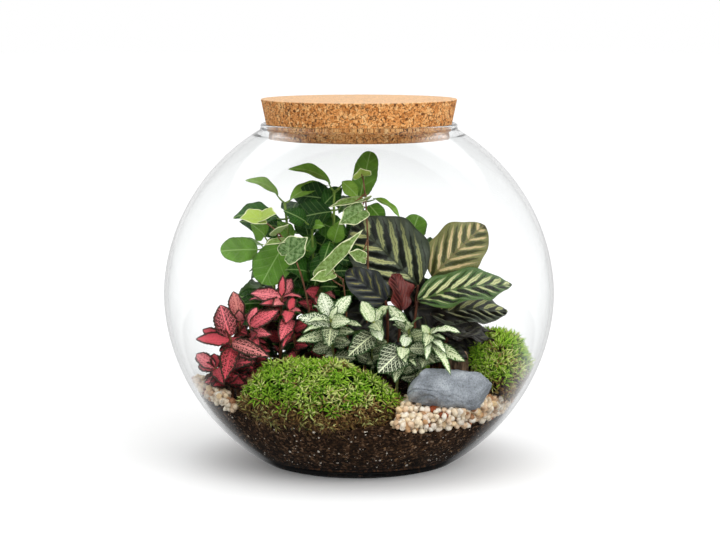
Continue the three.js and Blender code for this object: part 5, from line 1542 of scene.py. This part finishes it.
# %% [markdown]
# Ivy trails up between the coffee seedlings and bends over where its tip gets heavy. The leaves at the tips
# of the two long trails are the newest, so they get the lime colour.

# %% Ivy trails
# Leaves: how far below the head, base x, y, z, tip x, y, z, width, kind, and the face.
IVY = [
    dict(root=[-34, -34], knee=[-34, -36, 172], head=[-72, -46, 191], leaves=[
        [0, -74, -49, 193, -88, -55, 194, 15, "ivy", "tilted"],
        [0, -71, -50, 194, -61, -58, 198, 14, "ivy", "tilted"],
        [14, -61, -46, 182, -52, -56, 190, 9, "ivy", "level"],
        [18, -57, -48, 176, -70, -60, 175, 9, "ivy", "up"],
        [34, -52, -52, 168, -38, -54, 180, 17, "ivy", "front"],
    ]),
    dict(root=[4, -24], knee=[10, -30, 178], head=[3, -32, 222], leaves=[
        [0, 2, -34, 225, 1, -44, 230, 13, "ivy", "lifted"],
        [18, -2, -36, 205, -22, -46, 202, 10, "ivy", "up"],
        [24, 0, -38, 197, -15, -48, 189, 14, "ivy", "front"],
        [16, 6, -34, 206, 9, -42, 210, 5, "ivy", "up"], [62, 2, -38, 163, -8, -48, 168, 9, "ivy", "front"],
    ]),
    dict(root=[-8, -38], knee=[-8, -44, 120], head=[-12, -48, 148], leaves=[
        [0, -24, -54, 158, 3, -56, 186, 9, "ivy", "front"],
        [8, -22, -54, 152, -36, -62, 149, 8, "ivy", "front"],
    ]),
]
NEWEST = 0.15
for number, plant in enumerate(IVY, 1):
    surfaces = [surface(*stem_tube(plant, IVY_STEM, taper=0.7, knots=0.2), tone=(0, 0, 0), material=1)]
    for row in plant["leaves"]:
        age = NEWEST if row[0] == 0 and number < 3 else min(1, 0.55 + row[7] / 40)
        surfaces += stalked_leaf(plant, row, IVY_STALK, (age, rng.random()))
    make_piece(f"ivy_trail_{number}", surfaces, [ivy_skin, ivy_stem], [f"ivy_stem_{number}"])

# %% [markdown]
# Calathea leaves are the painted ones: dark feathered bands run out from the midrib between yellow-green
# stripes, each stripe with a fine dark line, and the underside is maroon. The bands follow the same curve as
# the side veins that ripple the blade, so one coordinate drives both.

# %% Calathea leaf
def painted_leaf(name, base, flame, blotch, line, under, broad=0.2):
    """Base colour, dark lens-shaped blotches between the side veins and pale flames along them."""
    material, add = new_material(name)
    read = leaf_reader(add)
    x, below = read["place"][0], read["tone"][2]
    phase, t, _ = read["vein"]
    flat = add("Attribute", attribute_name="place")
    feather = add("TexNoise", {
        "Vector": flat.outputs["Vector"], "Scale": 0.22, "Detail": 5.0, "Roughness": 0.65})
    waver = add("Math", {0: feather, 1: 0.5, 2: phase}, operation="MULTIPLY_ADD")
    near = add("Math", {0: waver, 1: 0.5}, operation="PINGPONG")
    swell = add("ValToRGB", {"Fac": t}, stops=[
        (0, "808080"), (0.12, "d0d0d0"), (0.4, "ffffff"), (0.7, "b0b0b0"), (0.93, "000000")])
    width = add("Math", {0: swell, 1: broad}, operation="MULTIPLY")
    inside = add("Math", {0: near, 1: width}, operation="SUBTRACT")
    flames = add("MapRange", {"Value": inside, "From Min": -0.05, "From Max": 0.02, "To Min": 1, "To Max": 0})
    lens = add("ValToRGB", {"Fac": t}, stops=[
        (0, "505050"), (0.15, "ffffff"), (0.6, "c0c0c0"), (0.9, "000000")])
    reach = add("Math", {0: lens, 1: -0.26, 2: 0.5}, operation="MULTIPLY_ADD")
    core = add("Math", {0: near, 1: reach}, operation="SUBTRACT")
    dark = add("MapRange", {"Value": core, "From Min": -0.03, "From Max": 0.05})
    thread = add("MapRange", {
        "Value": near, "From Min": 0.012, "From Max": 0.04, "To Min": 0.75, "To Max": 0})
    blotched = add("Mix", {0: dark, 6: base, 7: blotch}, data_type="RGBA")
    flamed = add("Mix", {0: flames, 6: blotched, 7: flame}, data_type="RGBA")
    lined = add("Mix", {0: thread, 6: flamed, 7: line}, data_type="RGBA")
    out = add("Math", {0: x}, operation="ABSOLUTE")
    rib = add("MapRange", {"Value": out, "From Min": 0.35, "From Max": 0.9, "To Min": 0.8, "To Max": 0})
    ribbed = add("Mix", {0: rib, 6: lined, 7: line}, data_type="RGBA")
    sides = add("Mix", {0: below, 6: ribbed, 7: under}, data_type="RGBA")
    fine = add("TexNoise", {"Vector": flat.outputs["Vector"], "Scale": 0.6, "Detail": 3.0})
    bump = add("Bump", {"Height": fine, "Strength": 0.4, "Distance": 0.8 * MM})
    shader = add("BsdfPrincipled", {
        "Base Color": sides, "Roughness": 0.3, "Specular IOR Level": 0.6, "Normal": bump})
    return finish_material(material, shader)


PAINTS = {
    "dark": painted_leaf("dark_flamed_calathea", "485040", "b2b67a", "12160e", "2c3418", "5a2622", 0.26),
    "olive": painted_leaf("olive_flamed_calathea", "77783f", "dcc491", "454a22", "7a6a3c", "6a3030", 0.22),
    "green": painted_leaf("green_flamed_calathea", "4a6a30", "c9ca92", "121c0a", "4a6030", "5a2622", 0.24),
    "grey": painted_leaf("grey_flamed_calathea", "3a3d3c", "a8a254", "222329", "2a2c22", "4a2022", 0.09),
    "maroon": painted_leaf("maroon_calathea", "74302a", "7c3a30", "3c1a1a", "44201e", "7a3a30", 0.1),
    # The shaded paint darkens calathea colours, as painted shade for low leaves under the big ones.
    "painted_shade": painted_leaf("shaded_calathea", "262420", "54563e", "12110e", "201a16", "341c1a", 0.12),
}
calathea_stalk = plain_stem("dark_calathea_stalk", "4a2a24", "7a4a34")

# %% [markdown]
# A calathea sends each leaf up from the ground on a stalk of its own. The large ones in view are modelled
# finely, so that their ribs catch the light, and smaller shaded ones, painted dark as shade, fill the dark
# space under them.

# %% Calathea leaves
CALATHEA = [
    dict(root=[40, -12], knee=[42, -12, 120], base=[45, -16, 139], tip=[-4, -2, 185],
         width=61, face="front", veins=4.6),
    dict(root=[56, -6], knee=[56, -4, 110], base=[57, 6, 143], tip=[98, 30, 180],
         width=42, face="front", veins=5.2),
    dict(root=[44, -32], knee=[40, -36, 110], base=[44, -38, 130], tip=[115, -34, 141],
         width=36, face="tilted", veins=7),
    dict(root=[62, -24], knee=[56, -26, 100], base=[54, -24, 118], tip=[113, -20, 118],
         width=36, face="tilted", veins=6.5),
    dict(root=[18, -32], knee=[24, -38, 110], base=[20, -44, 131], tip=[-10, -48, 154],
         width=26, face="front", veins=4.4),
    dict(root=[28, -24], knee=[30, -30, 100], base=[32, -33, 122], tip=[25, -34, 150],
         width=30, face="right", veins=5),
    dict(root=[60, -42], knee=[60, -50, 88], base=[66, -56, 105], tip=[100, -64, 104],
         width=16, face="up", veins=5),
    dict(root=[58, 20], knee=[58, 30, 100], base=[64, 40, 124], tip=[92, 78, 128],
         width=32, face="back", veins=5.6),
]
# The seventh leaf, low under the others, takes the painted-shade paint as well.
CALATHEA_PAINT = ["dark", "olive", "green", "dark", "grey", "maroon", "painted_shade", "dark"]
# Shaded leaves by plant: base, tip, width, and face.
SHADED = {
    1: [((20, 0, 120), (-24, -8, 100), 28, "front"), ((30, 4, 110), (8, -20, 78), 24, "front"),
        ((20, 30, 120), (-12, 70, 108), 26, "back")],
    2: [((70, 10, 120), (108, 42, 110), 28, "back"), ((58, 2, 116), (92, -8, 98), 24, "front")],
    3: [((48, -6, 126), (84, -16, 108), 26, "front"), ((46, -4, 104), (45, -12, 147), 24, "front")],
    4: [((41, -16, 122), (76, -36, 98), 24, "front"), ((44, -20, 100), (62, -38, 80), 20, "front"),
        ((58, -30, 112), (94, -46, 99), 20, "front"), ((52, -34, 108), (84, -52, 88), 18, "up")],
    5: [((21, -16, 122), (-16, -28, 108), 22, "front"), ((10, -10, 112), (-16, -30, 86), 24, "front")],
    6: [((32, -12, 118), (2, -30, 98), 24, "front"), ((34, -16, 112), (30, -36, 84), 20, "front")],
    7: [((58, -48, 100), (80, -66, 90), 14, "front"), ((60, -40, 104), (102, -50, 108), 14, "up")],
    8: [((50, 24, 130), (40, 72, 118), 28, "back")],
}
CRINKLED, DEEP_CRINKLE, CRINKLE = (3, 4), 1.7, 0.8
for number, (plant, paint) in enumerate(zip(CALATHEA, CALATHEA_PAINT), 1):
    stem = {"root": plant["root"], "knee": plant["knee"], "head": plant["base"]}
    rows, columns = (64, 33) if plant["width"] > 20 else (30, 17)
    leaf = blade(plant["base"], plant["tip"], plant["width"], "calathea", plant["face"], (0.5, rng.random()),
                 rows=rows, columns=columns, crinkle=DEEP_CRINKLE if number in CRINKLED else CRINKLE,
                 thickness=0.5, veins=plant["veins"])
    surfaces = [leaf, surface(*stem_tube(stem, CALATHEA_STALK, taper=0.7), tone=(0, 0, 0), material=1)]
    for base, tip, width, face in SHADED.get(number, []):
        root = np.array(plant["root"]) + rng.uniform(-4, 4, 2)
        low = {"root": root.tolist(), "head": base}
        shaded = blade(base, tip, width, "calathea", face, (0.5, rng.random()),
                       rows=30, columns=17, crinkle=0.4)
        shaded["material"] = 2
        held = surface(*stem_tube(low, SHADED_STALK, taper=0.7), tone=(0, 0, 0), material=1)
        surfaces += [shaded, held]
    make_piece(f"calathea_{number}", surfaces, [PAINTS[paint], calathea_stalk, PAINTS["painted_shade"]],
               [f"calathea_leaf_{number}"])

# %% [markdown]
# The stage is a plain pale table top, so wide that it fills the picture from every side, under an even white
# room. Studios keep a dark card low in front of glass, so that its belly doesn't mirror the white table over
# the dark soil: here the table's mirror image is a painted reflection, a glow that is dark in front of the
# globe and brighter towards the back.

# %% Stage
TABLE_RADIUS = 14


def table_top(around=96):
    """Flat disc: a ring of points and one in the middle."""
    angle = 2 * np.pi * np.arange(around) / around
    ring = np.stack([TABLE_RADIUS * np.cos(angle), TABLE_RADIUS * np.sin(angle), 0 * angle], -1)
    points = np.concatenate([ring, [[0, 0, 0]]])
    faces = np.stack([np.arange(around), (np.arange(around) + 1) % around, np.full(around, around)], -1)
    mesh = bpy.data.meshes.new("table_top")
    mesh.from_pydata(points.tolist(), [], faces.tolist())
    return mesh


def pale_table_top():
    """White paper that glows a little far out. Its mirror image is a painted reflection, dark in front of the
    globe.
    """
    material, add = new_material("pale_table_top")
    place = add("TexCoord").outputs["Object"]
    away = add("VectorMath", {0: place}, operation="LENGTH")
    sheet = add("BsdfDiffuse", {"Color": "fefefe"})
    lift = add("MapRange", {"Value": away.outputs["Value"], "From Min": 0.4, "From Max": 1.2, "To Max": 0.08})
    bright = add("Emission", {"Strength": lift})
    paper = add("AddShader", {0: sheet, 1: bright})
    path = add("LightPath")
    split = add("SeparateXYZ", {"Vector": place})
    # Painted reflection: mirror rays see the table as a glow of 0.015 in front of the globe rising to 0.85
    # behind it.
    mirror_glow = add("MapRange", {
        "Value": split.outputs["Y"], "From Min": -0.04, "From Max": 0.08, "To Min": 0.015, "To Max": 0.85})
    image = add("Emission", {"Strength": mirror_glow})
    mirrored = add("Math", {0: path.outputs["Glossy Depth"], 1: 0.5}, operation="GREATER_THAN")
    seen = add("MixShader", {0: mirrored, 1: paper, 2: image})
    bounce = add("BsdfDiffuse", {"Color": "c4c4c4"})
    lit = add("MixShader", {0: path.outputs["Is Diffuse Ray"], 1: seen, 2: bounce})
    return finish_material(material, lit)


table = bpy.data.objects.new("table_top", table_top())
table.data.materials.append(pale_table_top())
bpy.context.scene.collection.objects.link(table)

# %% [markdown]
# Glass shows its room. This one is white at eye level and grey overhead, so the globe gets soft grey edges,
# and two bright strips high behind it are mirrored in the glass round the lid. Leaves see a darker room with
# a bright ceiling, which gives them a soft sheen. Diffuse light is even, and two soft boxes add direction.

# %% Light
def room_light():
    """By direction: a ramp with height, dimmed towards the camera's side, times 1 + strips where mirrored."""
    world = bpy.data.worlds.new("soft_room")
    world.use_nodes = True
    world.node_tree.nodes.clear()
    add = partial(add_node, world.node_tree)
    direction = add("TexCoord").outputs["Generated"]
    split = add("SeparateXYZ", {"Vector": direction})
    height = add("MapRange", {"Value": split.outputs["Z"], "From Min": -0.3})
    walls = add("ValToRGB", {"Fac": height}, stops=[
        (0, "505050"), (0.2, "fafafa"), (0.5, "f4f4f4"), (0.82, "c8cacc"), (0.92, "303132"), (1, "202122")])
    toward = add("MapRange", {
        "Value": split.outputs["Y"], "From Min": -0.9, "From Max": -0.35, "To Min": 0.06})
    walls = add("Mix", {0: 1, 6: walls, 7: toward}, data_type="RGBA", blend_type="MULTIPLY")
    path = add("LightPath")
    across = add("Math", {0: split.outputs["X"]}, operation="ABSOLUTE")
    strip = add("MapRange", {"Value": across, "From Min": 0.26, "From Max": 0.38, "To Max": 3.2})
    raised = add("MapRange", {"Value": split.outputs["Z"], "From Min": 0.5, "From Max": 0.58})
    behind = add("MapRange", {"Value": split.outputs["Y"], "From Min": 0.4, "From Max": 0.52})
    high_behind = add("Math", {0: behind, 1: raised}, operation="MULTIPLY")
    mirror = add("Math", {
        0: path.outputs["Glossy Depth"], 1: high_behind}, operation="MULTIPLY", use_clamp=True)
    strips = add("Math", {0: strip, 1: mirror, 2: 1}, operation="MULTIPLY_ADD")
    walls = add("Mix", {0: 1, 6: walls, 7: strips}, data_type="RGBA", blend_type="MULTIPLY")
    sheen = add("ValToRGB", {"Fac": height}, stops=[
        (0, "101010"), (0.3, "303030"), (0.55, "808080"), (0.8, "ffffff")])
    leaf = add("Math", {0: path.outputs["Transmission Depth"], 1: 3.5}, operation="GREATER_THAN")
    gloss = add("Math", {0: leaf, 1: path.outputs["Glossy Depth"]}, operation="MULTIPLY", use_clamp=True)
    walls = add("Mix", {0: gloss, 6: walls, 7: sheen}, data_type="RGBA")
    even = add("Mix", {0: path.outputs["Is Diffuse Ray"], 6: walls, 7: "ffffff"}, data_type="RGBA")
    room = add("Mix", {0: path.outputs["Is Camera Ray"], 6: even, 7: "ffffff"}, data_type="RGBA")
    background = add("Background", {"Color": room, "Strength": 1})
    add("OutputWorld", {"Surface": background})
    bpy.context.scene.world = world


def softbox(name, location, target, size, power):
    """Square area lamp that faces a target and leaves no image of itself in the glass."""
    lamp = bpy.data.lights.new(name, "AREA")
    lamp.shape, lamp.size, lamp.energy = "SQUARE", size, power
    thing = bpy.data.objects.new(name, lamp)
    thing.location = location
    aim = unit(np.subtract(target, location))
    thing.rotation_euler = (math.acos(-aim[2]), 0, math.atan2(aim[0], -aim[1]) + math.pi)
    thing.visible_glossy = thing.visible_transmission = False
    bpy.context.scene.collection.objects.link(thing)


room_light()
softbox("softbox_front", location=(1.2, -1.6, 1.3), target=(0, 0, 0.12), size=1.6, power=22)
softbox("softbox_top", location=(-0.1, -0.3, 1.6), target=(0, 0, 0), size=1.6, power=3)
print("lights placed")

# %% [markdown]
# The camera was worked out from the photograph: it stands 1.57 m in front of the globe's axis and 0.35 m
# above the floor, and looks 7.3 degrees down through a long lens.

# %% Camera
FOCAL_LENGTH, SENSOR_WIDTH = 102.77, 36
CAMERA_PLACE, LOOKING_DOWN = (0.00077, -1.572, 0.35), 7.3
lens = bpy.data.cameras.new("camera")
lens.lens, lens.sensor_width = FOCAL_LENGTH, SENSOR_WIDTH
camera = bpy.data.objects.new("camera", lens)
camera.location = CAMERA_PLACE
camera.rotation_euler = (math.radians(90 - LOOKING_DOWN), 0, 0)
bpy.context.scene.collection.objects.link(camera)
bpy.context.scene.camera = camera
bpy.context.scene.view_settings.view_transform = "Standard"
print("camera placed, looking", LOOKING_DOWN, "degrees down")
